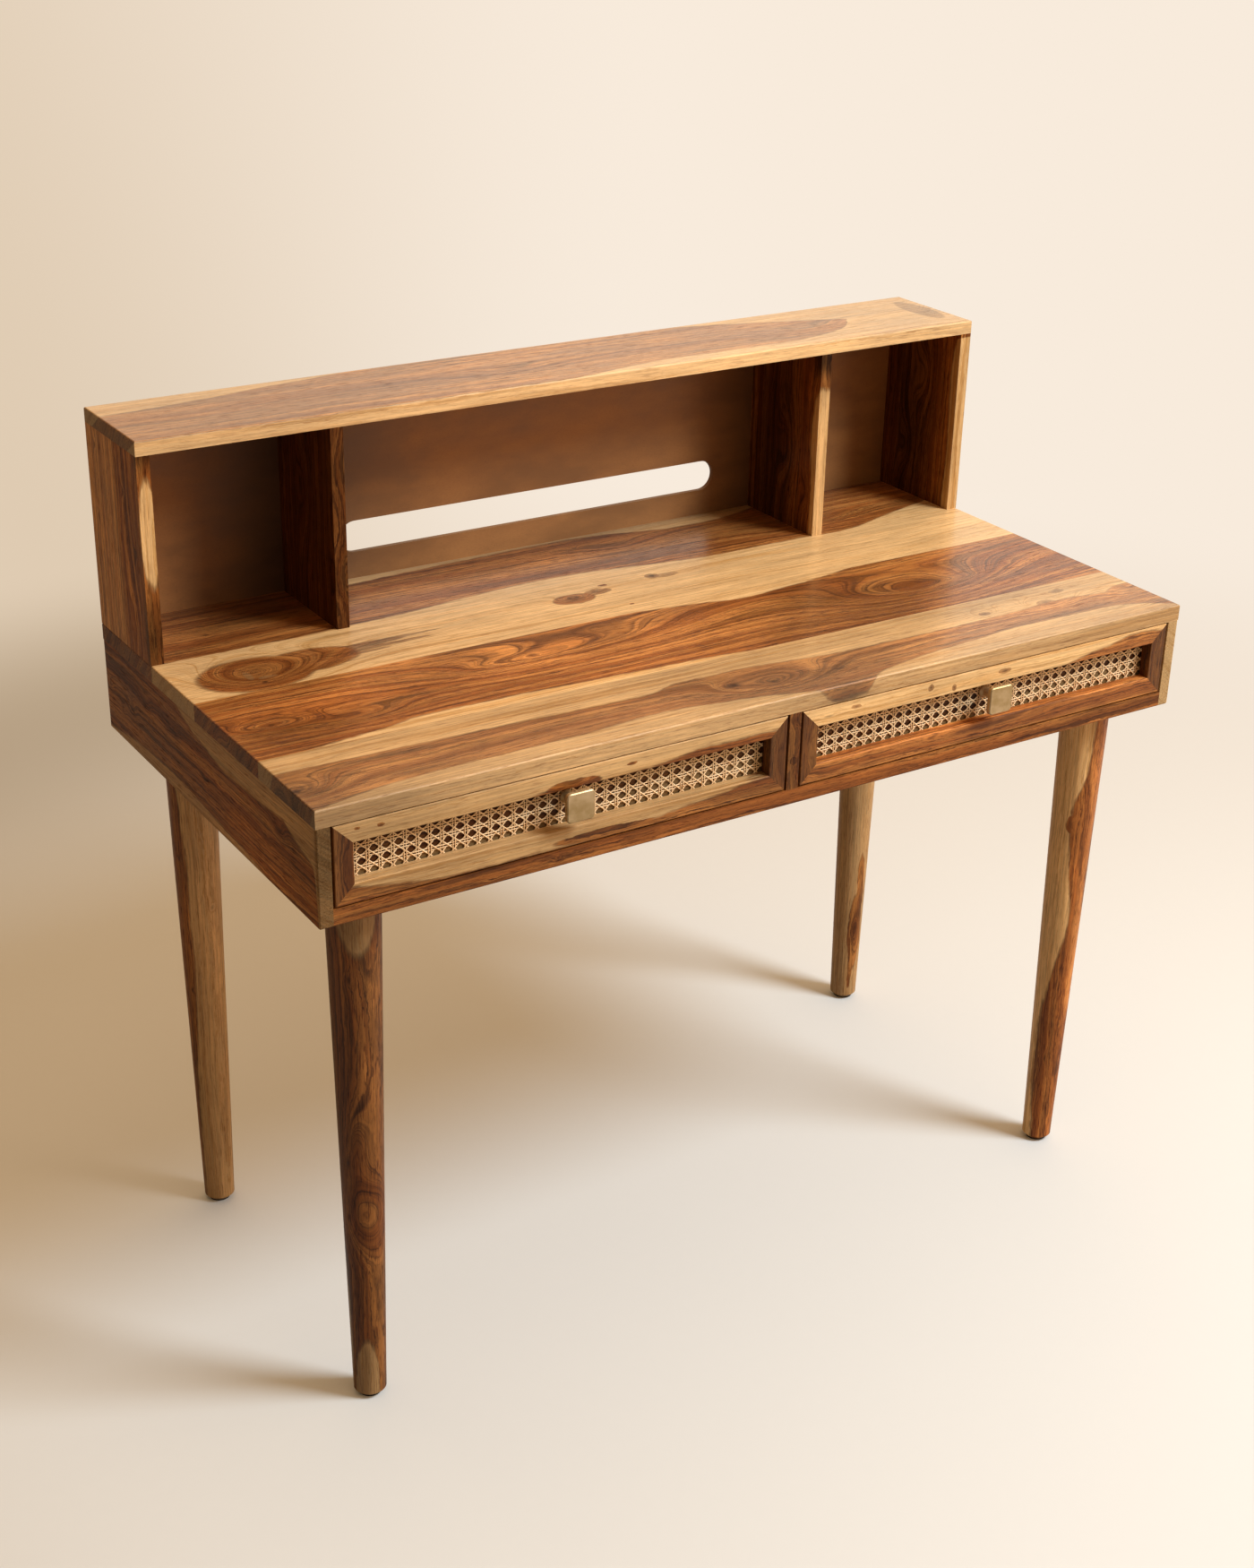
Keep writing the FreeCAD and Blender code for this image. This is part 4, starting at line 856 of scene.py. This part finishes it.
# Boards of figured wood: node, its board, the way of its grain and its seed
BOARDS = (
    ("desktop", DESKTOP, LEVEL_GRAIN, 0.1),
    ("hutch_top", HUTCH_TOP, LEVEL_GRAIN, 1.3),
    ("left_side_panel", LEFT_SIDE_PANEL, SIDE_GRAIN, 2.2),
    ("right_side_panel", RIGHT_SIDE_PANEL, SIDE_GRAIN, 3.4),
    ("case_bottom_board", BOTTOM_BOARD, LEVEL_GRAIN, 4.1),
    ("case_back_board", BACK_BOARD, RAIL_GRAIN, 5.6),
    ("hutch_left_side", HUTCH_LEFT_SIDE, UPRIGHT_GRAIN, 6.2),
    ("hutch_right_side", HUTCH_RIGHT_SIDE, UPRIGHT_GRAIN, 7.7),
    ("hutch_left_divider", HUTCH_LEFT_DIVIDER, UPRIGHT_GRAIN, 8.3),
    ("hutch_right_divider", HUTCH_RIGHT_DIVIDER, UPRIGHT_GRAIN, 9.8),
    ("centre_stile", CENTRE_STILE, UPRIGHT_GRAIN, 10.4),
    ("centre_partition", BACK_BOARD, SIDE_GRAIN, 11.1),
    ("stile_plug", DRAWER_STILE, UPRIGHT_GRAIN, 12.5),
    ("left_drawer_front_top_rail", LEFT_TOP_RAIL, RAIL_GRAIN, 13.2),
    ("left_drawer_front_bottom_rail", LEFT_BOTTOM_RAIL, RAIL_GRAIN, 14.9),
    ("left_drawer_front_left_stile", DRAWER_STILE, STILE_GRAIN, 15.3),
    ("left_drawer_front_right_stile", DRAWER_STILE, STILE_GRAIN, 16.6),
    ("right_drawer_front_top_rail", RIGHT_TOP_RAIL, RAIL_GRAIN, 17.1),
    ("right_drawer_front_bottom_rail", RIGHT_BOTTOM_RAIL, RAIL_GRAIN, 18.4),
    ("right_drawer_front_left_stile", DRAWER_STILE, STILE_GRAIN, 19.7),
    ("right_drawer_front_right_stile", DRAWER_STILE, STILE_GRAIN, 20.2),
)

# Boards that are polished, and those that are worn dull; the others are rubbed down to satin
POLISHED = ("desktop", "hutch_top")
DULL = ("left_side_panel", "hutch_left_side", "hutch_right_side", "hutch_left_divider", "hutch_right_divider")

# The turned legs: node, its board and its seed
LEGS = (
    ("front_left_leg", FRONT_LEFT_LEG, 21.3),
    ("front_right_leg", FRONT_RIGHT_LEG, 22.8),
    ("rear_left_leg", REAR_LEFT_LEG, 23.5),
    ("rear_right_leg", REAR_RIGHT_LEG, 24.1),
)

SIDES = ("left", "right")


class DESK_OT_dress_boards(bpy.types.Operator):
    """Give every figured board of case, hutch and drawer fronts its own cut of sheesham"""

    bl_idname = "desk.dress_boards"
    bl_label = "Dress Boards"

    def execute(self, context):
        wood = context.scene.desk_wood
        build_knot_group()
        build_sheesham_group(wood)
        for node, board, axes, seed in BOARDS:
            gloss = 1.0 if node in POLISHED else wood.dull if node in DULL else wood.satin
            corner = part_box(node)[0]
            paint(sheesham(f"sheesham_{node}", board, corner, axes, seed, wood, gloss=gloss), node)
        return {"FINISHED"}


# Grit of the glides: its noise, how much lighter it is, how rough it is and how deep
GLIDE_GRIT = Noise((900, 900, 900))
GRIT_GAIN = 2.2
GLIDE_ROUGHNESS = Step(0.3, 0.7, 0.5, 0.7)
GRIT_DEPTH = 0.05 * MM


class DESK_OT_dress_legs(bpy.types.Operator):
    """Give the turned legs their wood and the feet their glides"""

    bl_idname = "desk.dress_legs"
    bl_label = "Dress Legs"

    def execute(self, context):
        wood = context.scene.desk_wood
        across = rightwards(context.scene.desk_stage.camera_turn)
        axes = (Z, across, across.cross(Z))
        for node, board, seed in LEGS:
            low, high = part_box(node)
            origin = Vector(((low.x + high.x) / 2, (low.y + high.y) / 2, 0))
            material = sheesham(f"sheesham_{node}", board, origin, axes, seed, wood,
                                gloss=wood.satin, turned=True)
            paint(material, node)
        fittings = context.scene.desk_fittings
        material, tree, shader = new_material("black_glide")
        grit = tree.noise(tree.place(), GLIDE_GRIT)
        shade = tree.tint(tree.ramp(grit, SOFT), fittings.glide, toned(fittings.glide, GRIT_GAIN))
        finish(tree, shader, shade, tree.ramp(grit, GLIDE_ROUGHNESS), grit, GRIT_DEPTH)
        paint(material, *(f"{row}_{side}_glide" for row in ("front", "rear") for side in SIDES))
        return {"FINISHED"}


PLAIN_BOARD = Board(600, 600, (
    Stave(700,
          low=((0, 26), (200, 20), (400, 34), (600, 24)),
          knots=(Knot(180, 60, 60, 14, 26, 0.2), Knot(340, 120, 20, 9, 12, 0.5)),
          tone=0.8),
))

# Plain pieces of each drawer and its runners: name, the way of its grain and its tone
PLAIN_PIECES = (
    ("inner_front", RAIL_GRAIN, 0.3),
    ("back", RAIL_GRAIN, 1.0),
    ("left_side", SIDE_GRAIN, 1.0),
    ("right_side", SIDE_GRAIN, 1.0),
    ("bottom", LEVEL_GRAIN, 1.0),
    ("left_runner", SIDE_GRAIN, 1.0),
    ("right_runner", SIDE_GRAIN, 1.0),
)

# Gloss of the sealed plain woods, their first seed and how far apart their seeds are
PLAIN_GLOSS = 0.2
PLAIN_SEED = 30.0
PLAIN_SEED_STEP = 1.7


class DESK_OT_dress_drawer_boxes(bpy.types.Operator):
    """Give the drawer boxes, runners and stops their plain sealed woods"""

    bl_idname = "desk.dress_drawer_boxes"
    bl_label = "Dress Drawer Boxes"

    def execute(self, context):
        wood = context.scene.desk_wood
        seed = PLAIN_SEED
        for side in SIDES:
            for name, axes, tone in PLAIN_PIECES:
                node = f"{side}_drawer_{name}"
                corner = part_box(node)[0]
                seed += PLAIN_SEED_STEP
                material = sheesham(f"plain_{node}", PLAIN_BOARD, corner, axes, seed, wood, tone, PLAIN_GLOSS)
                paint(material, node)
        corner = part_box("drawer_stops")[0]
        paint(sheesham("plain_drawer_stops", PLAIN_BOARD, corner, SIDE_GRAIN, seed, wood), "drawer_stops")
        return {"FINISHED"}


# Painted shade on the hutch back: darker beside the dividers and the right side, where their shadows fall,
# and along the top under the hutch top
BACK_PANEL_PAINTED_SHADE = (
    Patch(215, 90, 105, 220, -0.76),
    Patch(880, 110, 70, 260, -0.6),
    Patch(1090, 150, 40, 200, -0.2),
    Patch(550, 235, 2000, 50, -0.25),
)

# Clouds, fibres and flecks of the stained board: their noises, how they show, its roughness and its relief
BOARD_CLOUD = Noise((7, 7, 16), 4.0, 0.6)
BOARD_FIBRE = Noise((260, 260, 900))
BOARD_FLECK = Noise((420, 420, 1500), 1.0)
FIBRE_SHADE = Step(0.4, 0.7, 0.0, 0.25)
FLECK_EDGE = Step(0.62, 0.76)
FLECK_SHARE = 0.3
FLECK_GAIN = 0.5
BOARD_ROUGHNESS = Step(0.3, 0.7, 0.5, 0.62)
BOARD_DEPTH = 0.08 * MM


class DESK_OT_dress_back_panel(bpy.types.Operator):
    """Give the slotted back of the hutch its brown stained board, with painted shade beside the dividers and
    under the top
    """

    bl_idname = "desk.dress_back_panel"
    bl_label = "Dress Back Panel"

    def execute(self, context):
        fittings = context.scene.desk_fittings
        material, tree, shader = new_material("stained_board")
        place = tree.place()
        cloud = tree.noise(place, BOARD_CLOUD)
        fibre = tree.noise(place, BOARD_FIBRE)
        fleck = tree.ramp(tree.noise(place, BOARD_FLECK), FLECK_EDGE)
        tone = tree.tint(tree.ramp(cloud, SOFT), fittings.board_shade, fittings.board)
        tone = tree.tint(tree.ramp(fibre, FIBRE_SHADE), tone, fittings.board_shade)
        tone = tree.tint(tree.times(fleck, FLECK_SHARE), tone, toned(fittings.board_shade, FLECK_GAIN))
        grain = grain_place(tree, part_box("hutch_back_panel")[0], RAIL_GRAIN)
        # Painted shade: the board is darkened beside the dividers and the right side and under the top
        tone = tree.shaded(tone, patched(tree, grain, 1.0, BACK_PANEL_PAINTED_SHADE))
        finish(tree, shader, tone, tree.ramp(cloud, BOARD_ROUGHNESS), fibre, BOARD_DEPTH)
        paint(material, "hutch_back_panel")
        return {"FINISHED"}


# Satin brass: its brushing and clouds, how they show, how far it is metal, its roughness and its relief
BRUSHING = Noise((120, 2600, 3800), 2.0, 0.6)
BRASS_CLOUD = Noise((70, 70, 70), 3.0)
BRASS_SHINE = Step(0.3, 0.75)
BRUSH_SHADE = Step(0.55, 0.3, 0.0, 0.3)
BRASS_METAL = 0.85
BRASS_ROUGHNESS = Step(0.2, 0.8, 0.46, 0.58)
BRUSH_DEPTH = 0.02 * MM
BRUSH_RELIEF = 0.25

# Plated steel: its clouds, how dark they are, its roughness and its relief
STEEL_CLOUD = Noise((300, 300, 300), 3.0)
STEEL_SHADE = 0.6
STEEL_ROUGHNESS = Step(0.3, 0.7, 0.3, 0.5)
STEEL_DEPTH = 0.03 * MM


class DESK_OT_dress_fittings(bpy.types.Operator):
    """Give the knobs their satin brass and the screws and bolts their plated steel"""

    bl_idname = "desk.dress_fittings"
    bl_label = "Dress Fittings"

    def execute(self, context):
        fittings = context.scene.desk_fittings
        material, tree, shader = new_material("satin_brass")
        place = tree.place()
        brushing = tree.noise(place, BRUSHING)
        tone = tree.tint(tree.ramp(tree.noise(place, BRASS_CLOUD), BRASS_SHINE), fittings.brass_shade,
                         fittings.brass)
        tone = tree.tint(tree.ramp(brushing, BRUSH_SHADE), tone, fittings.brass_shade)
        shader.inputs["Metallic"].default_value = BRASS_METAL
        finish(tree, shader, tone, tree.ramp(brushing, BRASS_ROUGHNESS), brushing, BRUSH_DEPTH, BRUSH_RELIEF)
        paint(material, *(f"{side}_drawer_knob" for side in SIDES))

        material, tree, shader = new_material("plated_steel")
        cloud = tree.noise(tree.place(), STEEL_CLOUD)
        tone = tree.tint(tree.ramp(cloud, SOFT), toned(fittings.steel, STEEL_SHADE), fittings.steel)
        shader.inputs["Metallic"].default_value = 1.0
        finish(tree, shader, tone, tree.ramp(cloud, STEEL_ROUGHNESS), cloud, STEEL_DEPTH)
        steel_nodes = [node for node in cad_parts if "screw" in node]
        paint(material, *steel_nodes, "leg_hanger_bolts", "leg_tee_nuts")
        return {"FINISHED"}


class StrandMesh:
    """Collects the strands of a woven panel as ribbons with a flat back and an arched face."""

    ACROSS = (-0.5, -0.3, 0.0, 0.3, 0.5)
    ARCH = (0.0, 0.75, 1.0, 0.75, 0.0)

    def __init__(self):
        self.points = []
        self.faces = []

    def ribbon(self, line, side, width, thickness):
        """A strand along a line of points; side is the direction of its width."""
        first = len(self.points)
        ring = 2 * len(self.ACROSS) - 2
        for point in line:
            for across, arch in zip(self.ACROSS, self.ARCH):
                self.points.append(point + side * width * across - Y * thickness * arch)
            for across in self.ACROSS[-2:0:-1]:
                self.points.append(point + side * width * across)
        for step in range(len(line) - 1):
            start = first + step * ring
            for index in range(ring):
                following = (index + 1) % ring
                self.faces.append((start + index, start + following, start + ring + following,
                                   start + ring + index))


# Points of a strand in each row of the weave, and the least part of a strand that is worth weaving
POINTS_PER_ROW = 6
LEAST_PART = 1e-6

# How far the pairs and the slanting strands rise and dip, in thicknesses of a strand
PAIR_RISE = 0.7
SLANT_RISE = 1.15

# Sides of a pair's middle on which its two strands lie, in shares of their distance
PAIR = (-0.5, 0.5)


def clipped(start, end, low, high):
    """The part of a slanting line between two heights and two sides, or None."""
    span = end - start
    begin, stop = 0.0, 1.0
    for axis in (0, 2):
        marks = sorted(((low[axis] - start[axis]) / span[axis], (high[axis] - start[axis]) / span[axis]))
        begin = max(begin, marks[0])
        stop = min(stop, marks[1])
    return None if stop - begin < LEAST_PART else (start + span * begin, start + span * stop)


def weave(cane, middle, low, high):
    """Strands of a six-way weave: upright and level pairs, and slanting strands that cut the corners."""
    mesh = StrandMesh()
    column, row = cane.column_pitch, cane.row_pitch
    lift = cane.strand_thickness
    step = row / POINTS_PER_ROW
    columns = math.ceil((high.x - low.x) / 2 / column)
    rows = math.ceil(max(high.z - middle.z, middle.z - low.z) / row)

    def samples(start, end):
        count = max(2, round((end - start).length / step))
        return [start.lerp(end, index / count) for index in range(count + 1)]

    def pair_wave(offset, pitch):
        return PAIR_RISE * lift * math.cos(math.pi * (offset / pitch - 0.5))

    for index in range(-columns - 1, columns + 1):
        sign = 1 if index % 2 else -1
        for half in PAIR:
            x = middle.x + (index + 0.5) * column + half * cane.pair_gap
            if low.x < x < high.x:
                line = samples(Vector((x, middle.y, low.z)), Vector((x, middle.y, high.z)))
                for point in line:
                    point.y += sign * pair_wave(point.z - middle.z, row)
                mesh.ribbon(line, X, cane.strand_width, lift)
    for index in range(-rows - 1, rows + 1):
        sign = -1 if index % 2 else 1
        for half in PAIR:
            z = middle.z + (index + 0.5) * row + half * cane.pair_gap
            if low.z < z < high.z:
                line = samples(Vector((low.x, middle.y, z)), Vector((high.x, middle.y, z)))
                for point in line:
                    point.y += sign * pair_wave(point.x - middle.x, column)
                mesh.ribbon(line, Z, cane.strand_width, lift)
    reach = columns + 2 * rows + 2
    for slant in (-1, 1):
        direction = Vector((column, 0, slant * row)).normalized()
        side = Vector((-direction.z, 0, direction.x))
        far = direction * (high.x - low.x)
        for index in range(-reach, reach + 1):
            crossing = Vector((middle.x + index * column, middle.y, middle.z + row / 2))
            part = clipped(crossing - far, crossing + far, low, high)
            if part is None:
                continue
            line = samples(*part)
            for point in line:
                turn = 2 * math.pi * (point.x - middle.x) / column
                point.y += SLANT_RISE * lift * slant * math.cos(turn)
            mesh.ribbon(line, side, cane.slant_width, lift)
    return mesh


# Straw of the cane: its clouds and fibres, how they show, its roughness and its relief
STRAW_CLOUD = Noise((60, 60, 60), 3.0, 0.6)
STRAW_FIBRE = Noise((1800, 1800, 1800))
STRAW_CLOUD_SHADE = Step(0.4, 0.8, 0.0, 0.6)
STRAW_FIBRE_SHADE = Step(0.5, 0.75, 0.0, 0.5)
STRAW_ROUGHNESS = Step(0.3, 0.7, 0.38, 0.55)
STRAW_DEPTH = 0.05 * MM


class DESK_OT_weave_cane(bpy.types.Operator):
    """Weave the cane of both drawer fronts in place of their plain sheets"""

    bl_idname = "desk.weave_cane"
    bl_label = "Weave Cane"

    def execute(self, context):
        cane = context.scene.desk_cane
        material, tree, shader = new_material("straw_cane")
        place = tree.place()
        cloud = tree.noise(place, STRAW_CLOUD)
        fibre = tree.noise(place, STRAW_FIBRE)
        tone = tree.tint(tree.ramp(cloud, STRAW_CLOUD_SHADE), cane.pale, cane.dark)
        tone = tree.tint(tree.ramp(fibre, STRAW_FIBRE_SHADE), tone, cane.dark)
        finish(tree, shader, tone, tree.ramp(fibre, STRAW_ROUGHNESS), fibre, STRAW_DEPTH)
        for side in SIDES:
            node = f"{side}_drawer_cane_panel"
            low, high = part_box(node)
            knob_low, knob_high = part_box(f"{side}_drawer_knob")
            row = (knob_low.z + knob_high.z) / 2 - cane.row_drop
            middle = Vector(((low.x + high.x) / 2, (low.y + high.y) / 2, row))
            strands = weave(cane, middle, low, high)
            mesh = bpy.data.meshes.new(f"{side}_drawer_woven_cane")
            mesh.from_pydata(strands.points, [], strands.faces)
            mesh.materials.append(material)
            mesh.shade_smooth()
            piece = bpy.data.objects.new(mesh.name, mesh)
            context.scene.collection.objects.link(piece)
            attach(piece, f"{side}_drawer")
            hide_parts(node)
        return {"FINISHED"}


# A lamp: its name, how wide it is, where it hangs and what it is aimed at, in metres
Lamp = namedtuple("Lamp", "name size place target")

KEY_LAMP = Lamp("soft_key", 1.4, Vector((1.9, -2.05, 3.3)), Vector((-1.8, 0.8, 0.3)))
FILL_LAMP = Lamp("low_fill", 1.2, Vector((2.4, -2.9, 1.25)), Vector((0, 0.2, 0.85)))

# The way from which the light from all round is strongest, and how it falls off away from that
BRIGHT_WAY = (0.85, 0.14, 0.5)
BRIGHT_SPREAD = (-0.6, 0.9)

# From the dim left of the picture to its bright right, for what is seen and for what is mirrored, and how
# far from the middle of the floor, in metres, the two sides part
BRIGHT_SIDE = Step(-0.42, 0.02)
MIRRORED_SIDE = Step(-0.1, 0.4)
PARTING = 0.6

# The floor, in metres from its middle: how far it reaches, where its near shade gives way to dusk and where
# it fades into the background, and by what factor sooner it does so on the dim side. Its near shade and dusk
# are painted shade in the floor's glow.
FLOOR_REACH = 40.0
SHADE_FADE = Step(1.4, 2.5)
FLOOR_FADE = Step(0.9, 2.9)
DIM_FADE = 1.25

# Grain of the floor's paper, how it shows, and its roughness
PAPER_GRAIN = Noise((60, 60, 60))
PAPER_MOTTLE = Step(0.3, 0.7, 0.0, 0.04)
PAPER_SHADE = 0.9
PAPER_ROUGHNESS = 0.9


class DESK_OT_set_stage(bpy.types.Operator):
    """Set up the floor, the two soft lamps, the light from all round and the camera"""

    bl_idname = "desk.set_stage"
    bl_label = "Set Stage"

    def execute(self, context):
        stage = context.scene.desk_stage
        context.scene.view_settings.view_transform = "Standard"
        self.lay_floor(context, stage)
        self.light(context, stage)
        self.aim(context, stage)
        return {"FINISHED"}

    def lay_floor(self, context, stage):
        """A wide pale floor that keeps the shadows and fades into the backdrop far away, with painted shade
        in its glow on the dim left.
        """
        mesh = bpy.data.meshes.new("studio_floor")
        corners = [(x * FLOOR_REACH, y * FLOOR_REACH, 0) for x, y in ((-1, -1), (1, -1), (1, 1), (-1, 1))]
        mesh.from_pydata(corners, [], [(0, 1, 2, 3)])
        floor = bpy.data.objects.new("studio_floor", mesh)
        context.scene.collection.objects.link(floor)
        material, tree, shader = new_material("studio_paper")
        mesh.materials.append(material)
        place = tree.place()
        grain = tree.noise(place, PAPER_GRAIN)
        seen = tree.node("ShaderNodeLightPath")
        tone = tree.tint(tree.ramp(grain, PAPER_MOTTLE), stage.floor, toned(stage.floor, PAPER_SHADE))
        tone = tree.tint(seen.outputs["Is Camera Ray"], toned(stage.floor, stage.bounce), tone)
        finish(tree, shader, tone, PAPER_ROUGHNESS)
        glow = tree.node("ShaderNodeEmission")
        distance = tree.length(place)
        sideways = tree.vector("DOT_PRODUCT", place, rightwards(stage.camera_turn))
        aside = tree.math("DIVIDE", sideways, tree.math("ADD", distance, PARTING))
        # Painted shade: on the dim left the floor glows dark near the desk, standing in for its shadow, and
        # in dusk further off, for a dimmer left side
        dim = tree.tint(tree.ramp(distance, SHADE_FADE), stage.shade, stage.dusk)
        bright = tree.ramp(aside, BRIGHT_SIDE)
        tree.feed(glow.inputs["Color"], tree.tint(bright, dim, stage.backdrop))
        mirrored = tree.times(seen.outputs["Is Glossy Ray"], tree.ramp(aside, MIRRORED_SIDE))
        direct = tree.math("MAXIMUM", seen.outputs["Is Camera Ray"], mirrored)
        reached = tree.times(distance, tree.blend(bright, DIM_FADE, 1.0))
        far = tree.times(tree.ramp(reached, FLOOR_FADE), direct)
        both = tree.node("ShaderNodeMixShader")
        tree.feed(both.inputs[0], far)
        tree.feed(both.inputs[1], shader.outputs[0])
        tree.feed(both.inputs[2], glow.outputs[0])
        tree.feed(material.node_tree.nodes["Material Output"].inputs["Surface"], both.outputs[0])

    def hang_lamp(self, context, lamp, power, tint):
        """A round soft lamp at its place, aimed at its target."""
        light = bpy.data.lights.new(lamp.name, "AREA")
        light.shape = "DISK"
        light.size = lamp.size
        light.energy = power
        light.color = tint
        holder = bpy.data.objects.new(lamp.name, light)
        context.scene.collection.objects.link(holder)
        holder.location = lamp.place
        holder.rotation_euler = (lamp.target - lamp.place).to_track_quat("-Z", "Y").to_euler()

    def light(self, context, stage):
        """The two lamps, and a world that is brighter from one side and shows the background."""
        self.hang_lamp(context, KEY_LAMP, stage.key_power, stage.key_colour)
        self.hang_lamp(context, FILL_LAMP, stage.fill_power, stage.fill_colour)
        world = bpy.data.worlds.new("studio")
        context.scene.world = world
        world.use_nodes = True
        tree = Tree(world.node_tree)
        seen = tree.node("ShaderNodeLightPath")
        direct = tree.math("MAXIMUM", seen.outputs["Is Camera Ray"], seen.outputs["Is Glossy Ray"])
        background = world.node_tree.nodes["Background"]
        way = tree.node("ShaderNodeTexCoord").outputs["Generated"]
        aside = tree.vector("DOT_PRODUCT", way, rightwards(stage.camera_turn))
        # Painted shade: the background seen directly and in reflections is darker towards the left of the
        # picture
        wall = tree.tint(tree.ramp(aside, BRIGHT_SIDE), stage.dusk, stage.backdrop)
        tree.feed(background.inputs["Color"], tree.tint(direct, stage.ambient_colour, wall))
        around = tree.ramp(tree.vector("DOT_PRODUCT", way, BRIGHT_WAY),
                           Step(*BRIGHT_SPREAD, stage.dim, stage.ambient))
        tree.feed(background.inputs["Strength"], tree.blend(seen.outputs["Is Camera Ray"], around, 1.0))

    def aim(self, context, stage):
        """The camera at the place and angle of the picture."""
        turn, rise, roll = stage.camera_turn, stage.camera_rise, stage.camera_roll
        back = Vector((math.sin(turn) * math.cos(rise), -math.cos(turn) * math.cos(rise), math.sin(rise)))
        level = rightwards(turn)
        upright = back.cross(level)
        right = math.cos(roll) * level + math.sin(roll) * upright
        up = -math.sin(roll) * level + math.cos(roll) * upright
        lens = bpy.data.cameras.new("studio_camera")
        lens.sensor_width = SENSOR
        lens.lens = stage.focal_pixels / IMAGE_HEIGHT * SENSOR
        camera = bpy.data.objects.new("studio_camera", lens)
        context.scene.collection.objects.link(camera)
        turned = Matrix((right, up, back)).transposed().to_4x4()
        camera.matrix_world = Matrix.Translation(stage.camera_place) @ turned
        context.scene.camera = camera


class DESK_PT_panel(bpy.types.Panel):
    """Lists the steps that finish the desk"""

    bl_idname = "DESK_PT_panel"
    bl_label = "Writing Desk"
    bl_space_type = "VIEW_3D"
    bl_region_type = "UI"
    bl_category = "Desk"

    def draw(self, context):
        for operator in OPERATORS:
            self.layout.operator(operator.bl_idname)


OPERATORS = (
    DESK_OT_dress_boards,
    DESK_OT_dress_legs,
    DESK_OT_dress_drawer_boxes,
    DESK_OT_dress_back_panel,
    DESK_OT_dress_fittings,
    DESK_OT_weave_cane,
    DESK_OT_set_stage,
)

SETTINGS = {
    "desk_wood": DeskWood,
    "desk_cane": DeskCane,
    "desk_fittings": DeskFittings,
    "desk_stage": DeskStage,
}


def register():
    for kind in (*SETTINGS.values(), *OPERATORS, DESK_PT_panel):
        bpy.utils.register_class(kind)
    for name, kind in SETTINGS.items():
        setattr(bpy.types.Scene, name, PointerProperty(type=kind))


def unregister():
    for name in SETTINGS:
        delattr(bpy.types.Scene, name)
    for kind in (DESK_PT_panel, *OPERATORS, *SETTINGS.values()):
        bpy.utils.unregister_class(kind)


def main():
    register()
    bpy.ops.desk.dress_boards()
    bpy.ops.desk.dress_legs()
    bpy.ops.desk.dress_drawer_boxes()
    bpy.ops.desk.dress_back_panel()
    bpy.ops.desk.dress_fittings()
    bpy.ops.desk.weave_cane()
    bpy.ops.desk.set_stage()


if __name__ == "__main__":
    main()
